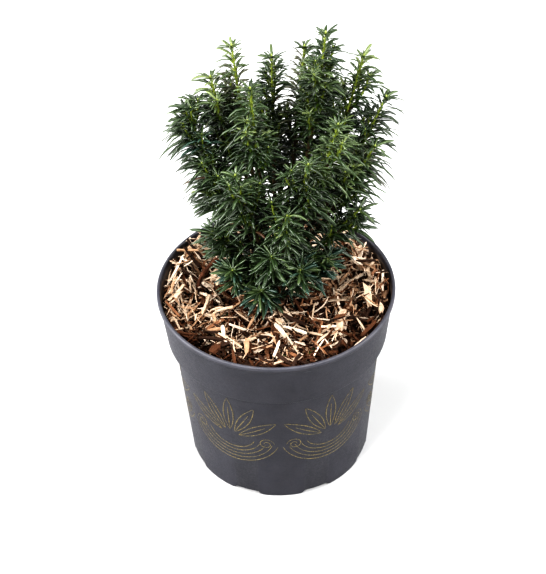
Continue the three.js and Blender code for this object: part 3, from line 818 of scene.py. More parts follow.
def chip_rings(length, width, thick, place, yaw, slope):
    """Five stations of four corners: a bowed bar with narrower, torn ends and uneven faces.

    A corner that would run into the pot is pressed back to the wall."""
    count, share = len(length), CHIP_STATIONS
    length, width, thick, yaw, slope = (a[:, None, None] for a in (length, width, thick, yaw, slope))
    end, widening = chip_rng.uniform(*CHIP_FORM["ends"], (count, 2)), CHIP_FORM["widening"]
    taper = np.where(share < 0.5, between(end[:, :1, None], 1, np.minimum(share * widening, 1)),
                     between(end[:, 1:, None], 1, np.minimum((1 - share) * widening, 1)))
    uneven = chip_rng.normal(1, CHIP_FORM["uneven"], (count, 5, 4))
    hump = 4 * share * (1 - share)
    bow = chip_rng.normal(0, CHIP_FORM["bow"], (count, 1, 1))
    bow = bow * np.maximum(length - CHIP_FORM["straight"] * width, 0) * hump
    arch = chip_rng.normal(0, CHIP_FORM["arch"], (count, 1, 1)) * length * hump
    torn = chip_rng.normal(0, CHIP_FORM["torn"], (count, 1, 4)) * width
    torn = torn * np.where((share == 0) | (share == 1), 1, CHIP_FORM["torn_between"])
    along = (share - 0.5) * length + torn
    across = np.array([-1, 1, 1, -1]) * width / 2 * taper * uneven + bow
    lift = np.array([-1, -1, 1, 1]) * thick / 2 * between(taper, 1, 0.5) * uneven[:, ::-1] + arch
    across, lift = turned(across, lift, chip_rng.normal(0, CHIP_FORM["roll"], (count, 1, 1)))
    x, y = turned(along, across, yaw)
    points = np.stack([x, y, lift + along * slope], axis=-1) + place[:, None, None, :]
    reach = np.hypot(points[..., 0], points[..., 1])
    points[..., :2] *= np.minimum(1, inner_wall(points[..., 2]) / np.maximum(reach, 1))[..., None]
    return points


def wood_finish(name, light, dark):
    """Split wood: fibre along the chip, from its own pattern coordinates, under soft stains."""
    finish = Finish(name, Specular_IOR_Level=0.3)
    fibre = finish.effect(STREAKS, Place=finish.pattern(), Stretch=(0.35, 5.0, 1.0), Share=0.36)["Fibre"]
    wood = finish.mix(fibre, dark, light)
    wood = finish.mix(finish.effect(MOTTLE, Scale=150.0)["Broad"], wood, dark, 0.35)
    wood = finish.mix(finish.dust(260.0, 0.3), wood, "4a3020")
    return finish.done(wood, fibre, 0.25, roughness=finish.rough(fibre, 0.85, 0.6))


chips = chip_rings(chip_length, chip_width, chip_thick, chip_place, chip_yaw, chip_slope)
for number, (tint, shades) in enumerate(CHIP_TINTS.items()):
    chosen = chip_tint == number
    u = CHIP_STATIONS * chip_length[chosen][:, None, None] + chip_rng.random((chosen.sum(), 1, 1)) * 90
    v = np.array([0, 1, 1.4, 0.4]) * chip_width[chosen][:, None, None]
    put_skins(f"wood_chips_{tint}", chips[chosen], [wood_finish(f"{tint}_wood", *shades)], "mulch",
              pattern=(u, v), smooth=False)

# %% [markdown]
# # Trunk and boughs
# The frame says where each limb runs: the trunk rises from the middle and leans a little back,
# and every bough follows one bend from the trunk to the tip of its leading shoot. The same rule
# is written again here, because the twigs and needles grow on from it. Young yew bark is thin,
# red-brown and flakes in narrow plates, so the radius of each ring is changed by waves round
# and along the limb, and the finish adds the fine scales.

# %% Where the limbs run
TRUNK = {
    "sunk": 4.7, "height": 76.0, "foot": 7.2, "tip": 4.6, "flare": 11.0, "flare_height": 9.0,
    "lean": 3.0, "cut_from": 0.985, "cut": 0.82,
}
BOUGH = {"foot": 1.8, "tip": 1.5, "forks": (9.0, 70.0), "offset": 4.0, "collar": 0.9, "collar_fall": 9}
LEADER = {
    "heights": (57, 261), "low_bend": (0.4, 0.6), "top_bend": (0.66, 0.3), "bare": 0.36,
    "tuft": 5.0,
}
TRUNK_FOOT = GROUND - TRUNK["sunk"]
# azimuth in degrees, reach from the axis and height over the mulch of each leading tip
MASSES = {
    "left_outer": (175, 64, 204), "left_inner": (161, 46, 224), "left_tall": (143, 34, 248),
    "back_centre": (88, 51, 215), "right_inner": (56, 47, 232), "right_tall": (20, 44, 261),
    "right_upper": (20, 74, 232), "right_outer": (7, 86, 204), "front_left_tall": (227, 21, 235),
    "front_right": (328, 57, 211), "right_lower": (352, 77, 174), "front_upper": (300, 52, 186),
    "front_left_mid": (237, 50, 175), "left_mid": (189, 53, 160), "front_mid": (281, 51, 141),
    "right_low": (342, 68, 120), "left_low": (198, 49, 96), "front_low": (253, 44, 57),
    "front_right_low": (293, 49, 82), "back_left": (122, 65, 175), "back_right": (51, 77, 178),
    "back_left_low": (140, 59, 118), "back_low": (83, 62, 136), "back_right_low": (35, 61, 104),
    "front_centre_low": (268, 45, 98), "right_base": (330, 46, 72), "left_base": (221, 43, 68),
    "back_base": (112, 50, 78),
}

trunk_path = bezier(
    np.array([0, 0, TRUNK_FOOT]),
    np.array([0, 0, TRUNK_FOOT + TRUNK["height"] / 2]),
    np.array([TRUNK["lean"] / 2, TRUNK["lean"], TRUNK_FOOT + TRUNK["height"]]),
)


def limb_path(azimuth, reach, height, rank):
    """One bend from the trunk to the tip. The taller the limb, the higher it forks and the more
    upright it starts."""
    fork = between(*BOUGH["forks"], rank) / TRUNK["height"]
    foot = at(trunk_path, fork) + around(azimuth, BOUGH["offset"], 0)
    tip = around(azimuth, reach, GROUND + height - LEADER["tuft"] * rank)
    out, rise = (between(*ends, rank) for ends in zip(LEADER["low_bend"], LEADER["top_bend"]))
    return bezier(foot, around(azimuth, reach * out, between(foot[2], tip[2], rise)), tip)


limbs = []
shortest, tallest = LEADER["heights"]
for number, (name, (azimuth, reach, height)) in enumerate(MASSES.items()):
    rank = (height - shortest) / (tallest - shortest)
    path = limb_path(azimuth, reach, height, rank)
    limbs.append({
        "name": name, "rank": rank, "seed": number + 1, "mass": number,
        "bough": stretch(path, 0, LEADER["bare"]), "stem": stretch(path, LEADER["bare"], 1),
    })
print("limbs:", len(limbs), "stem lengths, mm:", [round(length_of(limb["stem"])) for limb in limbs[:6]])


# %% Bark
RELIEF = {"trunk": 0.42, "trunk_seed": 90, "bough": 0.16}
TRUNK_RING, BOUGH_RING, TRUNK_RINGS = 40, 12, 90


def bark_finish(name, light, dark, scale):
    """Thin flakes: streaks along the limb over a warm mottle."""
    finish = Finish(name, Specular_IOR_Level=0.3)
    flakes = finish.effect(STREAKS, Stretch=(scale * 9, scale * 9, scale * 2.2), Share=0.42)
    bark = finish.mix(flakes["Marks"], finish.two_tone(scale, light, dark)[0], "6e4f3c", 0.6)
    fibre = flakes["Fibre"]
    return finish.done(bark, fibre, 0.4, roughness=finish.rough(fibre, 0.9, 0.62))


def with_relief(ring, path, length_of_limb, depth, seed):
    """Plates and furrows: each corner moves along its spoke by a sum of waves, of so many
    millimetres at most, that fit whole times round the limb."""
    turn = full_turn(ring.shape[1])
    along = np.linspace(0, 1, len(path))[:, None] * length_of_limb
    total = 0.0
    for k in range(9):
        times_round = 2 + int(9 * chance(seed, k))
        length = between(7, 26, chance(seed + 1, k))
        total = total + np.cos(times_round * turn + 2 * np.pi * (along / length + chance(seed + 2, k)))
    relief = depth * np.clip(total / 3, -1, 1)
    return ring + unit(ring - path[:, None, :]) * relief[..., None]


def trunk_rings():
    """The trunk's own taper and root flare, drawn in at the cut."""
    path = respaced(trunk_path, TRUNK_RINGS)
    share = np.linspace(0, 1, TRUNK_RINGS)
    flare = np.exp(-3 * share * TRUNK["height"] / TRUNK["flare_height"])
    radius = between(TRUNK["foot"], TRUNK["tip"], share) + (TRUNK["flare"] - TRUNK["foot"]) * flare
    radius = radius * np.where(share > TRUNK["cut_from"], TRUNK["cut"], 1)
    ring = tubes(path[None], radius[None], TRUNK_RING)[0]
    return with_relief(ring, path, TRUNK["height"], RELIEF["trunk"], RELIEF["trunk_seed"])[None]


def bough_rings():
    """An even taper with a small collar at the foot, and less deep relief."""
    paths = np.stack([limb["bough"] for limb in limbs])
    share = np.linspace(0, 1, paths.shape[1])
    collar = BOUGH["collar"] * np.exp(-share * BOUGH["collar_fall"])
    radius = between(BOUGH["foot"], BOUGH["tip"], share) + collar
    rings = tubes(paths, np.broadcast_to(radius, paths.shape[:2]), BOUGH_RING)
    return np.stack([
        with_relief(ring, limb["bough"], length_of(limb["bough"]), RELIEF["bough"], limb["seed"])
        for limb, ring in zip(limbs, rings)
    ])


trunk_bark = bark_finish("trunk_bark", "5f4434", "33231a", 70.0)
bough_bark = bark_finish("bough_bark", "42382a", "231c15", 120.0)
put_skins("trunk_with_bark", trunk_rings(), [trunk_bark], "bark", ["trunk"])
put_skins("boughs_with_bark", bough_rings(), [bough_bark], "bark", BOUGH_NODES)

# %% [markdown]
# # Shoots
# A yew shoot branches by a simple habit: side shoots leave their parent at about thirty degrees,
# each turned by the golden angle from the last, and then curve upwards to the light. The same
# rule serves three times: for the leading shoot of each mass, for its side shoots and for the
# short sprays on both. A shoot that would leave the space of its own mass, or touch a bough, is
# shortened and at last left out, so the crown keeps its gaps. Two masses are bushier near the
# top, and two have lost a side shoot, so that the leaders next to them stand free. Curves with a
# bevel would also give round shoots, but a plain array of rings needs no later conversion.

# %% The space of each mass
SPACE_MARGIN, TWIG_CLEARANCE, GROUND_CLEARANCE = 0.6, 2.5, 6
TRIM_STEPS = (1, 0.85, 0.7, 0.56)
stem_lines = np.stack([stretch(limb["stem"], 0, 1, 9) for limb in limbs])
bough_lines = np.stack([stretch(limb["bough"], 0, 1, 7) for limb in limbs])
trunk_line = stretch(trunk_path, 0, 1, 7)[None]


def distances(points, lines):
    """From each point to the nearest place on each line, (points, lines), piece by piece."""
    start, span = lines[:, :-1], np.diff(lines, axis=1)
    offset = points[:, None, None, :] - start
    share = np.clip(np.sum(offset * span, -1) / np.sum(span * span, -1), 0, 1)
    return np.linalg.norm(offset - share[..., None] * span, axis=-1).min(axis=2)


def spare_space(points, mass):
    """How much nearer each point is to the stem of its own mass than to any other stem."""
    gap = distances(points, stem_lines)
    rows = np.arange(len(points))
    own = gap[rows, mass].copy()
    gap[rows, mass] = np.inf
    return gap.min(axis=1) - own


def clear_of_limbs(points, reach):
    """Whether each point is further than a reach from the bark of every bough and the trunk."""
    from_boughs = distances(points, bough_lines).min(axis=1)
    from_trunk = distances(points, trunk_line).min(axis=1)
    return (from_boughs > BOUGH["foot"] + reach) & (from_trunk > TRUNK["foot"] + reach)


# %% Grow the shoots
LEAVING_ANGLE, SHOOT_RISE = np.radians(32), 0.4
# count, shares of the parent between which they grow, length, and how much shorter at its tip
TWIGS, SPRAYS = (3, (0.08, 0.6), 40, 0.35), (3, (0.1, 0.6), 30, 0.45)
SPRAYS_ON_TWIG = (1, (0.2, 0.5), 22, 0.4)
# more sprays for two masses, and the number of the side shoot that two others have lost
BUSHY = {"left_outer": (5, (0.6, 0.84), 34, 0.3), "right_tall": (5, (0.42, 0.68), 34, 0.3)}
NIPPED_OFF = {"left_tall": 1, "right_inner": 1}
LEADING, TWIG, SPRAY, ON_BOUGH = range(4)
SEED_OF = {"sprays": 40, "bushy": 55, "twig_sprays": 70, "spray_shoots": 300, "boughs": 900}


def side_shoot(parent, share, turn, length):
    """Leaves the parent at an angle, turned round it, and bends upwards by a share of its length."""
    foot, along = at(parent, share), heading_at(parent, share)
    across = unit(np.cross(UP, along))
    outward = across * np.cos(turn) + np.cross(along, across) * np.sin(turn)
    heading = along * np.cos(LEAVING_ANGLE) + outward * np.sin(LEAVING_ANGLE)
    tip = foot + heading * length * (1 - SHOOT_RISE) + UP * SHOOT_RISE * length
    return bezier(foot, foot + heading * length / 2, tip, 25)


def fitting(grow, mass):
    """The longest of a few trimmed shoots whose outer half stays in the space of its mass."""
    for trim in TRIM_STEPS:
        path = grow(trim)
        outer = at(path, np.array([0.5, 0.75, 1.0]))
        roomy = spare_space(outer, np.full(3, mass)) > SPACE_MARGIN
        over_ground = outer[:, 2] > GROUND + GROUND_CLEARANCE
        if (roomy & clear_of_limbs(outer, TWIG_CLEARANCE) & over_ground).all():
            return path
    return None


def grow_sides(parent, seed, mass, count, shares, length, fall):
    """Side shoots of one parent, spread over it by the golden share, and shorter towards its tip."""
    grown = []
    for step in range(count):
        share = between(*shares, (0.35 + step * GOLDEN_SHARE) % 1)
        full = length * (1 - fall * share) * (0.8 + 0.4 * chance(seed, step))
        turn = seed * 2.1 + step * GOLDEN_TURN
        path = fitting(lambda trim: side_shoot(parent, share, turn, full * trim), mass)
        if path is not None:
            grown.append(path)
    return grown


def grow_limb(limb):
    """Path, level and seed of every shoot of a limb: the leader, its twigs, and then the sprays."""
    seed, mass, name = limb["seed"], limb["mass"], limb["name"]
    grown = [(limb["stem"], LEADING, seed * 10)]
    twigs = grow_sides(limb["stem"], seed, mass, *TWIGS)
    sprays = grow_sides(limb["stem"], seed + SEED_OF["sprays"], mass, *SPRAYS)
    if name in BUSHY:
        sprays += grow_sides(limb["stem"], seed + SEED_OF["bushy"], mass, *BUSHY[name])
    for step, twig in enumerate(twigs):
        if step != NIPPED_OFF.get(name):
            grown.append((twig, TWIG, seed * 10 + step + 1))
            sprays += grow_sides(twig, seed + SEED_OF["twig_sprays"] + step, mass, *SPRAYS_ON_TWIG)
    first = seed * 10 + SEED_OF["spray_shoots"]
    return grown + [(spray, SPRAY, first + step) for step, spray in enumerate(sprays)]


shoots = [
    {"path": path, "level": level, "seed": seed, "mass": limb["mass"], "rank": limb["rank"],
     "length": length_of(path)}
    for limb in limbs for path, level, seed in grow_limb(limb)
]
shoot_level = np.array([shoot["level"] for shoot in shoots])
print("leaders, side shoots and sprays:", np.bincount(shoot_level))

# %% [markdown]
# # Colour of the shoots
# A shoot is woody and brown where it is old, green where it grew last year and yellow-green
# towards the tip that is still growing. The colour therefore has a place. Each stretch is a
# piece of its own with a plain colour of its own, which stays true in any export.

# %% Shoot finishes and pieces
SHOOT_RADII = ((1.6, 0.6), (1.2, 0.55), (0.9, 0.45))
WOODY_TO, GREEN_TO, LAP = (0.34, 0.18, 0.0), (0.56, 0.55, 0.45), 0.01
SHOOT_STATIONS, SHOOT_CORNERS = 9, 7
BUD = {"lengths": (2.9, 2.5, 2.0), "sunk": 0.15, "thick": 0.3}


def shoot_finish(name, light, dark, roughness):
    """A soft mottle with fine ridges that run up the shoot."""
    finish = Finish(name, Roughness=roughness, Specular_IOR_Level=0.4)
    ridges = finish.effect(STREAKS, Stretch=(900.0, 900.0, 160.0), Share=0.4)["Fibre"]
    return finish.done(finish.two_tone(160.0, light, dark)[0], ridges, 0.15)


def shoot_tubes(starts, ends):
    """The stretch of every shoot between two shares, which its level sets, as tapered rings."""
    stretches, radii = [], []
    for shoot in shoots:
        start, end = starts[shoot["level"]], ends[shoot["level"]]
        if end > start:
            stretches.append(stretch(shoot["path"], start, end, SHOOT_STATIONS))
            share = np.linspace(start, end, SHOOT_STATIONS)
            radii.append(between(*SHOOT_RADII[shoot["level"]], share))
    return tubes(np.stack(stretches), np.stack(radii), SHOOT_CORNERS)


shoot_parts = {
    "woody_shoots": ((0, 0, 0), WOODY_TO, ("5a4c34", "352b1d"), 0.75, "bark"),
    "green_shoots": ([max(s - LAP, 0) for s in WOODY_TO], GREEN_TO, ("6a7c34", "476022"), 0.5, "foliage"),
    "growing_tips": ([s - LAP for s in GREEN_TO], (1, 1, 1), ("808b3c", "616d2a"), 0.45, "foliage"),
}
for name, (starts, ends, shades, roughness, slot) in shoot_parts.items():
    put_skins(name, shoot_tubes(starts, ends), [shoot_finish(name, *shades, roughness)], slot)


def bud_rings():
    """A pointed bud on every tip: its radius swells and closes as sin(pi s^0.7)."""
    s = np.array([0.05, 0.25, 0.5, 0.78, 0.98])
    tips = np.stack([shoot["path"][-1] for shoot in shoots])
    headings = np.stack([heading_at(shoot["path"], 1.0) for shoot in shoots])
    long = np.array(BUD["lengths"])[shoot_level]
    paths = tips[:, None] + headings[:, None] * (s[None, :, None] - BUD["sunk"]) * long[:, None, None]
    return tubes(paths, np.sin(np.pi * s**0.7)[None, :] * long[:, None] * BUD["thick"], 6)


put_skins("buds", bud_rings(), [shoot_finish("bud_scales", "98a35c", "707a40", 0.5)], "foliage")

# %% [markdown]
# # Needles
# A yew needle is a narrow, flat blade with a raised midrib on its glossy upper side, a short
# stalk and a fine point. It stands out from the shoot, turns a little up to the light, and then
# arches over under its own weight, the more so the longer it is. Needles are longest where they
# point out of the crown and shorter on its sunny front. Each needle here is six rings of four
# corners: two edges, the midrib and the keel. All of them are worked out in one set of arrays
# from their place on their shoot. Instanced objects would be lighter, but an export drops them.

# %% Where needles grow
# pairs run from the lowest limb to the tallest one, and those of sink from short needles to long
NEEDLE = {
    "pitch": (1.6, 1.08), "crowding": 0.76, "length": (30.0, 42.0), "inward_share": 0.72,
    "front_share": (1.0, 0.55), "tip_share": (0.74, 0.38), "open_angle": 50.0,
    "tip_angle": (58.0, 42.0), "width": (3.3, 2.8), "ridge": 0.34, "keel": 0.3, "upturn": 0.35,
    "sink": (0.8, 1.5), "sink_lengths": (12, 34), "low_sink": 0.4, "recurve": (0.05, 0.2),
}
# for a leader, a twig, a spray and a bough: how much wider the pitch is, and the share of length
PITCH_OF_LEVEL, LENGTH_OF_LEVEL = np.array([1.0, 1.15, 1.15, 1.4]), np.array([0.96, 0.84, 0.72, 0.8])
BOUGH_NEEDLES_FROM = 0.25
INTERLEAVE, NEEDLE_CLEARANCE, NEEDLE_OVER_GROUND = -9.0, 1.2, 3.5
needle_rng = np.random.default_rng(11)

bearers = shoots + [
    {"path": stretch(limb["bough"], BOUGH_NEEDLES_FROM, 1), "level": ON_BOUGH,
     "seed": limb["seed"] * 10 + SEED_OF["boughs"], "mass": limb["mass"], "rank": limb["rank"],
     "length": (1 - BOUGH_NEEDLES_FROM) * length_of(limb["bough"])}
    for limb in limbs
]
bearer_paths = np.stack([respaced(b["path"], 25) for b in bearers])
bearer = {key: np.array([b[key] for b in bearers]) for key in ("level", "seed", "mass", "rank", "length")}
pitch = between(*NEEDLE["pitch"], smooth_step(0.15, 0.95, bearer["rank"]))
counts = np.floor(bearer["length"] / (pitch * PITCH_OF_LEVEL[bearer["level"]])).astype(int)
owner = np.repeat(np.arange(len(bearers)), counts)
needle_step = np.arange(counts.sum()) - np.repeat(np.cumsum(counts) - counts, counts)
needle_share = np.minimum(((needle_step + 0.7) / counts[owner]) ** NEEDLE["crowding"], 0.985)
needle_rank, needle_level, needle_mass = (bearer[key][owner] for key in ("rank", "level", "mass"))
NEEDLES = len(owner)
print("needles that start:", NEEDLES)


def tallness(rank):
    """0 on the lowest limbs, and 1 on all those from middle height upwards."""
    return smooth_step(0.1, 0.5, rank)


def on_paths(which, share):
    """Points at shares of chosen bearers' paths, and the direction of the path there."""
    along = share * (bearer_paths.shape[1] - 1)
    low = np.minimum(along.astype(int), bearer_paths.shape[1] - 2)
    start, end = bearer_paths[which, low], bearer_paths[which, low + 1]
    return between(start, end, (along - low)[:, None]), unit(end - start)


def round_axis(axis, turn):
    """The direction square to each axis at an angle round it."""
    across = unit(np.cross(UP, axis) + 1e-6)
    return across * np.cos(turn)[:, None] + np.cross(axis, across) * np.sin(turn)[:, None]


def needle_frames():
    """Root, direction, side and shoot axis of every needle, by the golden turn round its shoot."""
    root, axis = on_paths(owner, needle_share)
    turn = bearer["seed"][owner] + needle_step * GOLDEN_TURN + needle_rng.normal(0, 0.12, NEEDLES)
    tip_angle = between(*NEEDLE["tip_angle"], needle_rank)
    angle = between(NEEDLE["open_angle"], tip_angle, needle_share**1.5)
    angle = np.radians(angle + needle_rng.normal(0, 4, NEEDLES))[:, None]
    direction = axis * np.cos(angle) + round_axis(axis, turn) * np.sin(angle)
    direction = unit(direction + UP * NEEDLE["upturn"] * (1 - direction[:, 2:]))
    return root, direction, unit(np.cross(axis, direction)), axis


def needle_lengths(root, direction):
    """Longest where a needle points out of the crown, low on a tall limb, and shorter in front."""
    full = between(*NEEDLE["length"], smooth_step(-0.1, 0.6, needle_rank))
    way = unit(direction * [1, 1, 0])
    outward = np.sum(unit(root * [1, 1, 0]) * way, axis=1)
    full = full * between(NEEDLE["inward_share"], 1, smooth_step(-0.2, 0.9, outward))
    front_share = between(*NEEDLE["front_share"], tallness(needle_rank))
    full = full * between(1, front_share, smooth_step(0.3, 0.95, -way[:, 1]))
    tip_share = between(*NEEDLE["tip_share"], needle_rank)
    by_place = between(1, tip_share, needle_share**2.5)
    return full * by_place * LENGTH_OF_LEVEL[needle_level] * needle_rng.uniform(0.82, 1.06, NEEDLES)


def needle_bends(length, side, axis):
    """How a needle arches: its tip sinks the more, the longer it is and the taller its limb, and
    leans back a little along the shoot."""
    sink = between(*NEEDLE["sink"], smooth_step(*NEEDLE["sink_lengths"], length))
    sink = sink * between(NEEDLE["low_sink"], 1, tallness(needle_rank))
    sink = sink * needle_rng.uniform(0.7, 1.3, NEEDLES)
    recurve = between(*NEEDLE["recurve"], needle_rank) * needle_rng.uniform(0.6, 1.4, NEEDLES)
    sway = needle_rng.normal(0, 0.1, NEEDLES)
    return -UP * sink[:, None] - axis * recurve[:, None] + side * sway[:, None]


def trimmed(full_length, root, direction, bend):
    """The longest trimmed length whose outer half keeps clear of limbs, ground and other masses,
    or 0. A needle's midline is root + length (s direction + s^2/2 bend)."""
    length = np.zeros(NEEDLES)
    for trim in TRIM_STEPS[::-1]:
        tried = full_length * trim
        fine = np.ones(NEEDLES, bool)
        for s in (0.6, 1.0):
            spot = root + tried[:, None] * (s * direction + 0.5 * s * s * bend)
            fine &= spare_space(spot, needle_mass) > INTERLEAVE
            fine &= spot[:, 2] > GROUND + NEEDLE_OVER_GROUND
        fine &= clear_of_limbs(spot, NEEDLE_CLEARANCE)
        length = np.where(fine, tried, length)
    return length


needle_root, needle_way, needle_side, needle_axis = needle_frames()
full_length = needle_lengths(needle_root, needle_way)
needle_bend = needle_bends(full_length, needle_side, needle_axis)
needle_length = trimmed(full_length, needle_root, needle_way, needle_bend)
grown = needle_length > 0
print("needles that found room:", int(grown.sum()))


# %% Rings of the needles
STATION = np.array([0.0, 0.1, 0.32, 0.62, 0.87, 1.0])
BREADTH = np.array([0.3, 0.5, 0.95, 1.0, 0.72, 0.06])
DEPTH = np.array([0.9, 0.8, 0.95, 1.0, 0.85, 0.15])[None, :, None]


def needle_rings(root, direction, side, bend, length, width):
    """Rings along each parabola. The side is kept square to the needle and rolled a little."""
    s, direction, bend = STATION[None, :, None], direction[:, None], bend[:, None]
    middle = root[:, None] + length[:, None, None] * (s * direction + 0.5 * s * s * bend)
    along = unit(direction + s * bend)
    side = unit(side[:, None] - along * np.sum(side[:, None] * along, -1, keepdims=True))
    lift = np.cross(along, side)
    side, lift = turned(side, lift, -needle_rng.normal(0, 0.35, len(root))[:, None, None])
    half = (width[:, None] / 2 * BREADTH)[..., None]
    return np.stack([middle - side * half, middle - lift * DEPTH * NEEDLE["keel"],
                     middle + side * half, middle + lift * DEPTH * NEEDLE["ridge"]], axis=2)


def needle_width(length, rank):
    """Long needles are a little broader: the width grows with the cube root of the length."""
    full = between(*NEEDLE["width"], tallness(rank))
    return full * np.cbrt(length / 30) * needle_rng.uniform(0.85, 1.12, len(length))


# %% [markdown]
# # Colour of the needles
# Every mass has a tone: bluish at the left and near the ground, deep green inside, olive on the
# tall shoots at the back and fresh green where the plant grows fast. The bluish tone is partly the
# needles' own bluer green and partly a painted sheen, the blue-grey of light reflected from their
# gloss. The deep tone on the masses at the back is partly painted shade. Some shoots keep a deeper
# or a middle green of their own. The youngest needles are a lighter green and those round a
# growing tip yellow-green, and a few of the oldest have gone brown. Each tone is one piece. The
# underside is dull and paler, so its faces take a second finish. The upper finish has a pale
# midrib and a yellow-green stalk, from the pattern coordinates across and along the blade.

# %% Needle finishes
def needle_finish(name, light, dark, roughness, stalk_share=0.5):
    """A waxy blade: mottled green, pale along its midrib and yellow-green on its stalk."""
    finish = Finish(name, Specular_IOR_Level=0.35, Coat_Roughness=0.22, Coat_Weight=0.46)
    blade, mottle = finish.two_tone(45.0, light, dark)
    axes = add_node(finish.tree, "ShaderNodeSeparateXYZ", {0: finish.pattern()}).outputs
    midrib = scaled(finish.tree, reckon(finish.tree, "ABSOLUTE", axes["Y"]), 0.28, 0.0)
    stalk = scaled(finish.tree, axes["X"], 0.26, 0.06, 0.0, stalk_share)
    blade = finish.mix(midrib, blade, light, 0.35)
    blade = finish.mix(stalk, blade, "89953a")
    rough = finish.rough(mottle["Fine"], roughness - 0.06, roughness + 0.08)
    return finish.done(blade, mottle["Fine"], 0.06, 0.6, rough)


# each tone: light and dark colour of its mottle, roughness, and how yellow-green the stalk is.
# The bluish tone is partly a painted sheen, and the deep tone is partly painted shade on the
# masses at the back
TONES = {
    "deep": ("384230", "1a2415", 0.34, 0.4), "bluish_sheen": ("40564a", "202f28", 0.28, 0.3),
    "mid": ("3e4d32", "1e2c18", 0.36, 0.5), "olive": ("5a5b4a", "37392a", 0.42, 0.7),
    "fresh": ("546142", "374528", 0.4, 0.85), "tip": ("727c54", "535f3a", 0.42, 0.9),
    "brown": ("64472e", "3b291e", 0.6, 0.2),
}
# the masses whose needles share a tone, and those that are still growing fast
TONE_OF_MASS = {
    "olive": ("left_tall", "left_inner", "right_inner", "right_upper", "right_outer"),
    "fresh": ("right_tall", "front_right"),
    # bluish: partly the needles' own bluer green and partly a painted sheen
    "bluish_sheen": ("left_outer", "left_low", "front_low", "front_right_low", "left_base", "right_base"),
    # deep: on these masses partly painted shade, for the shade at the back and inside the crown
    "deep": ("back_centre", "front_upper", "back_low", "back_left_low", "back_right_low"),
}
FAST = ("left_inner", "left_tall", "right_tall", "right_upper", "right_inner",
        "front_left_tall", "front_right", "right_lower")
BROWNED, OLDEST_TO = 12, 0.2
# the share of bright shoots in a fast and a slow mass, and the rank below which there are none
BRIGHT = {"fast": 0.8, "slow": 0.15, "lowest_rank": 0.3}
# the number that a shoot draws: deep below the first, mid above the others (leader, side shoot)
SHOOT_TONE = {"deep": 0.18, "mid": (0.82, 0.5)}
# youth is the place on the shoot, with noise and what its level adds. Above these values needles
# are fresh (on a bright shoot, on another) and yellow-green
YOUTH = {"noise": 0.06, "by_level": (0.0, 0.0, 0.04, -0.3), "fresh": (0.82, 0.94), "tip": 0.95}
TONE_NUMBER = {name: number for number, name in enumerate(TONES)}
under_finish = needle_finish("needle_underside", "4a583b", "334129", 0.55)
tone_finishes = {name: needle_finish(f"needle_{name}", *values) for name, values in TONES.items()}

mass_tone = np.full(len(MASSES), TONE_NUMBER["mid"])
for name, masses in TONE_OF_MASS.items():
    mass_tone[[list(MASSES).index(mass) for mass in masses]] = TONE_NUMBER[name]
mass_is_fast = np.array([mass in FAST for mass in MASSES])


def is_bright(which):
    """Whether a shoot is yellow-green at its tip: nearly all those of a mass that grows fast, and
    none near the ground."""
    likely = np.where(mass_is_fast[bearer["mass"][which]], BRIGHT["fast"], BRIGHT["slow"])
    tall = bearer["rank"][which] > BRIGHT["lowest_rank"]
    return (chance(bearer["seed"][which], 5) < likely) & tall


def deal_tones():
    """The tone of each needle: that of its mass or shoot, and then greener the younger it is."""
    age_noise = needle_rng.normal(0, YOUTH["noise"], NEEDLES)
    youth = needle_share + age_noise + np.array(YOUTH["by_level"])[needle_level]
    drawn = chance(bearer["seed"][owner], 9)
    mid_from = np.array(SHOOT_TONE["mid"])[(needle_level > LEADING).astype(int)]
    tone = mass_tone[needle_mass]
    tone = np.where(drawn < SHOOT_TONE["deep"], TONE_NUMBER["deep"], tone)
    tone = np.where(drawn > mid_from, TONE_NUMBER["mid"], tone)
    bright = is_bright(owner)
    tone = np.where(youth > np.where(bright, *YOUTH["fresh"]), TONE_NUMBER["fresh"], tone)
    tone = np.where((youth > YOUTH["tip"]) & bright, TONE_NUMBER["tip"], tone)
    oldest = np.flatnonzero(grown & (needle_share < OLDEST_TO))
    tone[needle_rng.choice(oldest, BROWNED, replace=False)] = TONE_NUMBER["brown"]
    return tone


def put_needles(name, rings, tone, stands_for=()):
    """One piece of needles: upper faces in their tone and lower faces in the underside finish."""
    lower = np.tile([1, 1, 0, 0], len(rings) * (len(STATION) - 1))
    put_skins(name, rings, [tone_finishes[tone], under_finish], "foliage", stands_for,
              finish_of_face=np.concatenate([lower, np.zeros(2 * len(rings), int)]),
              pattern=(STATION[None, :, None], np.array([-1.0, 0.0, 1.0, 0.0])))


tone = deal_tones()
blades = (needle_root, needle_way, needle_side, needle_bend, needle_length,
          needle_width(needle_length, needle_rank))
for name, number in TONE_NUMBER.items():
    chosen = grown & (tone == number)
    rings = needle_rings(*(array[chosen] for array in blades))
    put_needles(f"needles_{name}", rings, name, MASS_NODES if name == "mid" else ())

# %% [markdown]
# # The rosette at each tip
# At its very end a shoot carries a tuft of short young needles that still stand upright round
# the bud. They are closer together than the spacing rule allows, so they are a small ring of
# their own on every tip. Each leans out further than the last, and near the ground they are
# larger, because the low shoots end in open stars.

# %% Rosettes
ROSETTE = {
    "needles": 12, "inner": 4, "leans": (16, 66), "lengths": (4.0, 12.0), "width": 1.7,
    "by_level": (1.0, 0.9, 0.72), "low_share": 1.5, "at": 0.985,
}


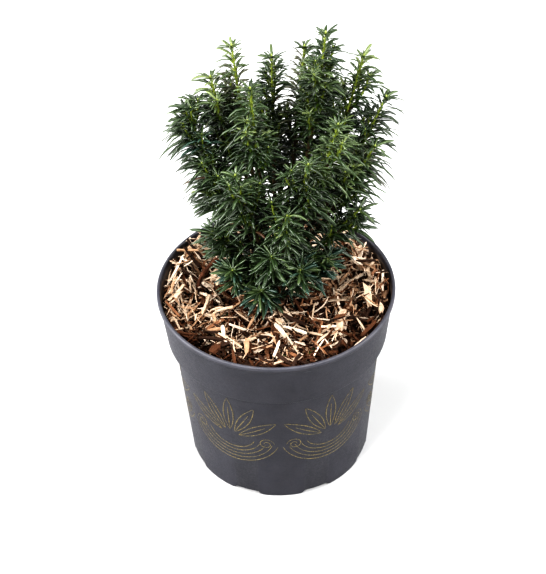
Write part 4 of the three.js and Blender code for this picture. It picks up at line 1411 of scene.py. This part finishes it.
def rosette_rings(tuft, step):
    """One short needle for each tuft and step: it leans out by its step, and grows with it."""
    root, axis = on_paths(tuft, np.full(len(tuft), ROSETTE["at"]))
    outward = round_axis(axis, step * GOLDEN_TURN + tuft)
    lean = between(*ROSETTE["leans"], (step + 0.5) / ROSETTE["needles"])
    lean = np.radians(lean + needle_rng.normal(0, 4, len(tuft)))[:, None]
    direction = axis * np.cos(lean) + outward * np.sin(lean)
    bend = outward * needle_rng.uniform(0.3, 0.8, len(tuft))[:, None] - axis * 0.5
    size = np.array(ROSETTE["by_level"])[shoot_level][tuft]
    size = size * between(ROSETTE["low_share"], 1, tallness(bearer["rank"][tuft]))
    length = size * between(*ROSETTE["lengths"], step / ROSETTE["needles"])
    length = length * needle_rng.uniform(0.8, 1.15, len(tuft))
    width = ROSETTE["width"] * np.sqrt(length / 10) * needle_rng.uniform(0.85, 1.1, len(tuft))
    return needle_rings(root, direction, unit(np.cross(axis, direction)), bend, length, width)


tuft = np.repeat(np.arange(len(shoots)), ROSETTE["needles"])
tuft_step = np.tile(np.arange(ROSETTE["needles"]), len(shoots))
tufts = rosette_rings(tuft, tuft_step)
inner, bright = tuft_step < ROSETTE["inner"], is_bright(tuft)
put_needles("rosettes_bright", tufts[inner & bright], "tip")
put_needles("rosettes_fresh", tufts[inner ^ bright], "fresh")
put_needles("rosettes_dark", tufts[~inner & ~bright], "mid")

# %% [markdown]
# # What has fallen on the mulch
# A few needles and a red-brown stick lie on the chips. They use the same shapes again, laid flat
# at the height of the settled chips.

# %% Fallen needles and a stick
FALLEN = {"count": 22, "reach": (48, 70), "lift": (6.0, 8.5), "length": (16, 27)}
STICK = {"azimuth": (140, 158, 172), "reach": (62, 68, 63), "lift": (20.0, 16.0, 15.0), "radius": 1.6}


def fallen_rings(count):
    """Needles that lie nearly level, each turned at random towards the middle of the pot."""
    reach, turn = needle_rng.uniform(*FALLEN["reach"], count), needle_rng.uniform(0, 2 * np.pi, count)
    root = on_circle(reach, turn, GROUND + needle_rng.uniform(*FALLEN["lift"], count))
    yaw = turn + np.pi + needle_rng.uniform(-1.2, 1.2, count)
    way = unit(on_circle(1, yaw, needle_rng.normal(0, 0.12, count)))
    side = unit(np.cross(UP, way))
    bend = side * needle_rng.normal(0, 0.3, count)[:, None] - UP * 0.15
    length = needle_rng.uniform(*FALLEN["length"], count)
    return needle_rings(root, way, side, bend, length, needle_width(length, 0.5))


fallen = fallen_rings(FALLEN["count"])
dried = np.arange(FALLEN["count"]) % 3 == 0
put_needles("fallen_needles_green", fallen[~dried], "mid")
put_needles("fallen_needles_dried", fallen[dried], "brown")

stick_path = bezier(*(
    around(azimuth, reach, GROUND + lift)
    for azimuth, reach, lift in zip(STICK["azimuth"], STICK["reach"], STICK["lift"])
))
knots = 1 + 0.15 * np.cos(np.linspace(0, 14, len(stick_path)))
stick_bark = bark_finish("stick_bark", "6c4733", "42291c", 150.0)
put_skins("fallen_stick", tubes(stick_path[None], STICK["radius"] * knots[None], 9), [stick_bark], "mulch")

# %% [markdown]
# # Floor, backdrop and light
# The plant stands on a plain pale floor that sweeps up into a backdrop all round, like a paper
# roll in a studio, so no edge shows from any side. It is one curve turned round the vertical
# axis. Two high, soft suns light the plant from either side and leave only a faint shadow, two
# lower ones light its front, and an area light at each side gives the pot its pale edges. The
# contrast is set high, so that the gaps between needles are deep and the paper is white.

# %% Stage
SWEEP = {"radius": 3200.0, "height": 1900.0, "flat": 0.7, "hole": 10, "segments": 96}
PAPER = {"grey": 0.33, "glow": 0.08}
# azimuth and elevation in degrees, width of the disc in degrees, and strength
SUNS = {
    "left_key": (-172, 73, 26, 1.5), "right_key": (-12, 73, 26, 1.4),
    "front_right_key": (-52, 38, 14, 2.1), "front_left_key": (-125, 38, 14, 1.8),
}
# azimuth in degrees and power of the area lights, and where they stand and look
SIDE_LIGHTS = {"left_light": (185, 34), "right_light": (-5, 19)}
SIDE_LIGHT = {"reach": 1300, "height": 700, "size": 900, "aim": 200.0}
AIR_STRENGTH, SUN_REACH = 0.08, 2000


def make_stage():
    """A section that runs flat and then rises as a quarter of an ellipse, turned all round."""
    bend = np.linspace(0, np.pi / 2, 24)[1:]
    flat = np.linspace(SWEEP["hole"], SWEEP["radius"] * SWEEP["flat"], 12)
    rising = SWEEP["radius"] * between(SWEEP["flat"], 1, np.sin(bend))
    radius = np.concatenate([flat, rising])[:, None]
    height = np.concatenate([0 * flat, SWEEP["height"] * (1 - np.cos(bend))])[:, None]
    grid = on_circle(radius, full_turn(SWEEP["segments"]), height)
    points, sides, caps = closed_skins(grid[None])
    mesh = bpy.data.meshes.new("studio_floor")
    mesh.from_pydata((points * MM).tolist(), [], sides.tolist() + [caps[0].tolist()])
    mesh.polygons.foreach_set("use_smooth", np.ones(len(mesh.polygons), bool))
    paper = Finish("studio_paper", Roughness=0.9, Specular_IOR_Level=0.1,
                   Base_Color=(*[PAPER["grey"]] * 3, 1), Emission_Color=(1, 1, 1, 1),
                   Emission_Strength=PAPER["glow"])
    mesh.materials.append(paper.material)
    floor = bpy.data.objects.new("studio_floor", mesh)
    bpy.context.scene.collection.objects.link(floor)


def put_light(name, kind, place, back, **settings):
    """A light that shines against back. A sun's place doesn't matter, only its direction."""
    data = bpy.data.lights.new(name, kind)
    for label, value in settings.items():
        setattr(data, label, value)
    stand(name, data, unit(np.cross(UP + 1e-3, back)), back, place)


make_stage()
for name, (azimuth, elevation, spread, strength) in SUNS.items():
    rise = np.radians(elevation)
    back = around(azimuth, np.cos(rise), np.sin(rise))
    put_light(name, "SUN", back * SUN_REACH, back, angle=np.radians(spread), energy=strength)
for name, (azimuth, power) in SIDE_LIGHTS.items():
    place = around(azimuth, SIDE_LIGHT["reach"], SIDE_LIGHT["height"])
    back = unit(place - UP * SIDE_LIGHT["aim"])
    put_light(name, "AREA", place, back, shape="SQUARE", size=SIDE_LIGHT["size"] * MM, energy=power)

world = bpy.data.worlds.new("studio_air")
world.use_nodes = True
air = world.node_tree.nodes["Background"]
air.inputs["Color"].default_value = (1, 1, 1, 1)
air.inputs["Strength"].default_value = AIR_STRENGTH
scene = bpy.context.scene
scene.world = world
scene.view_settings.view_transform = "Standard"
scene.view_settings.look = "Very High Contrast"
print("lights:", [*SUNS, *SIDE_LIGHTS])
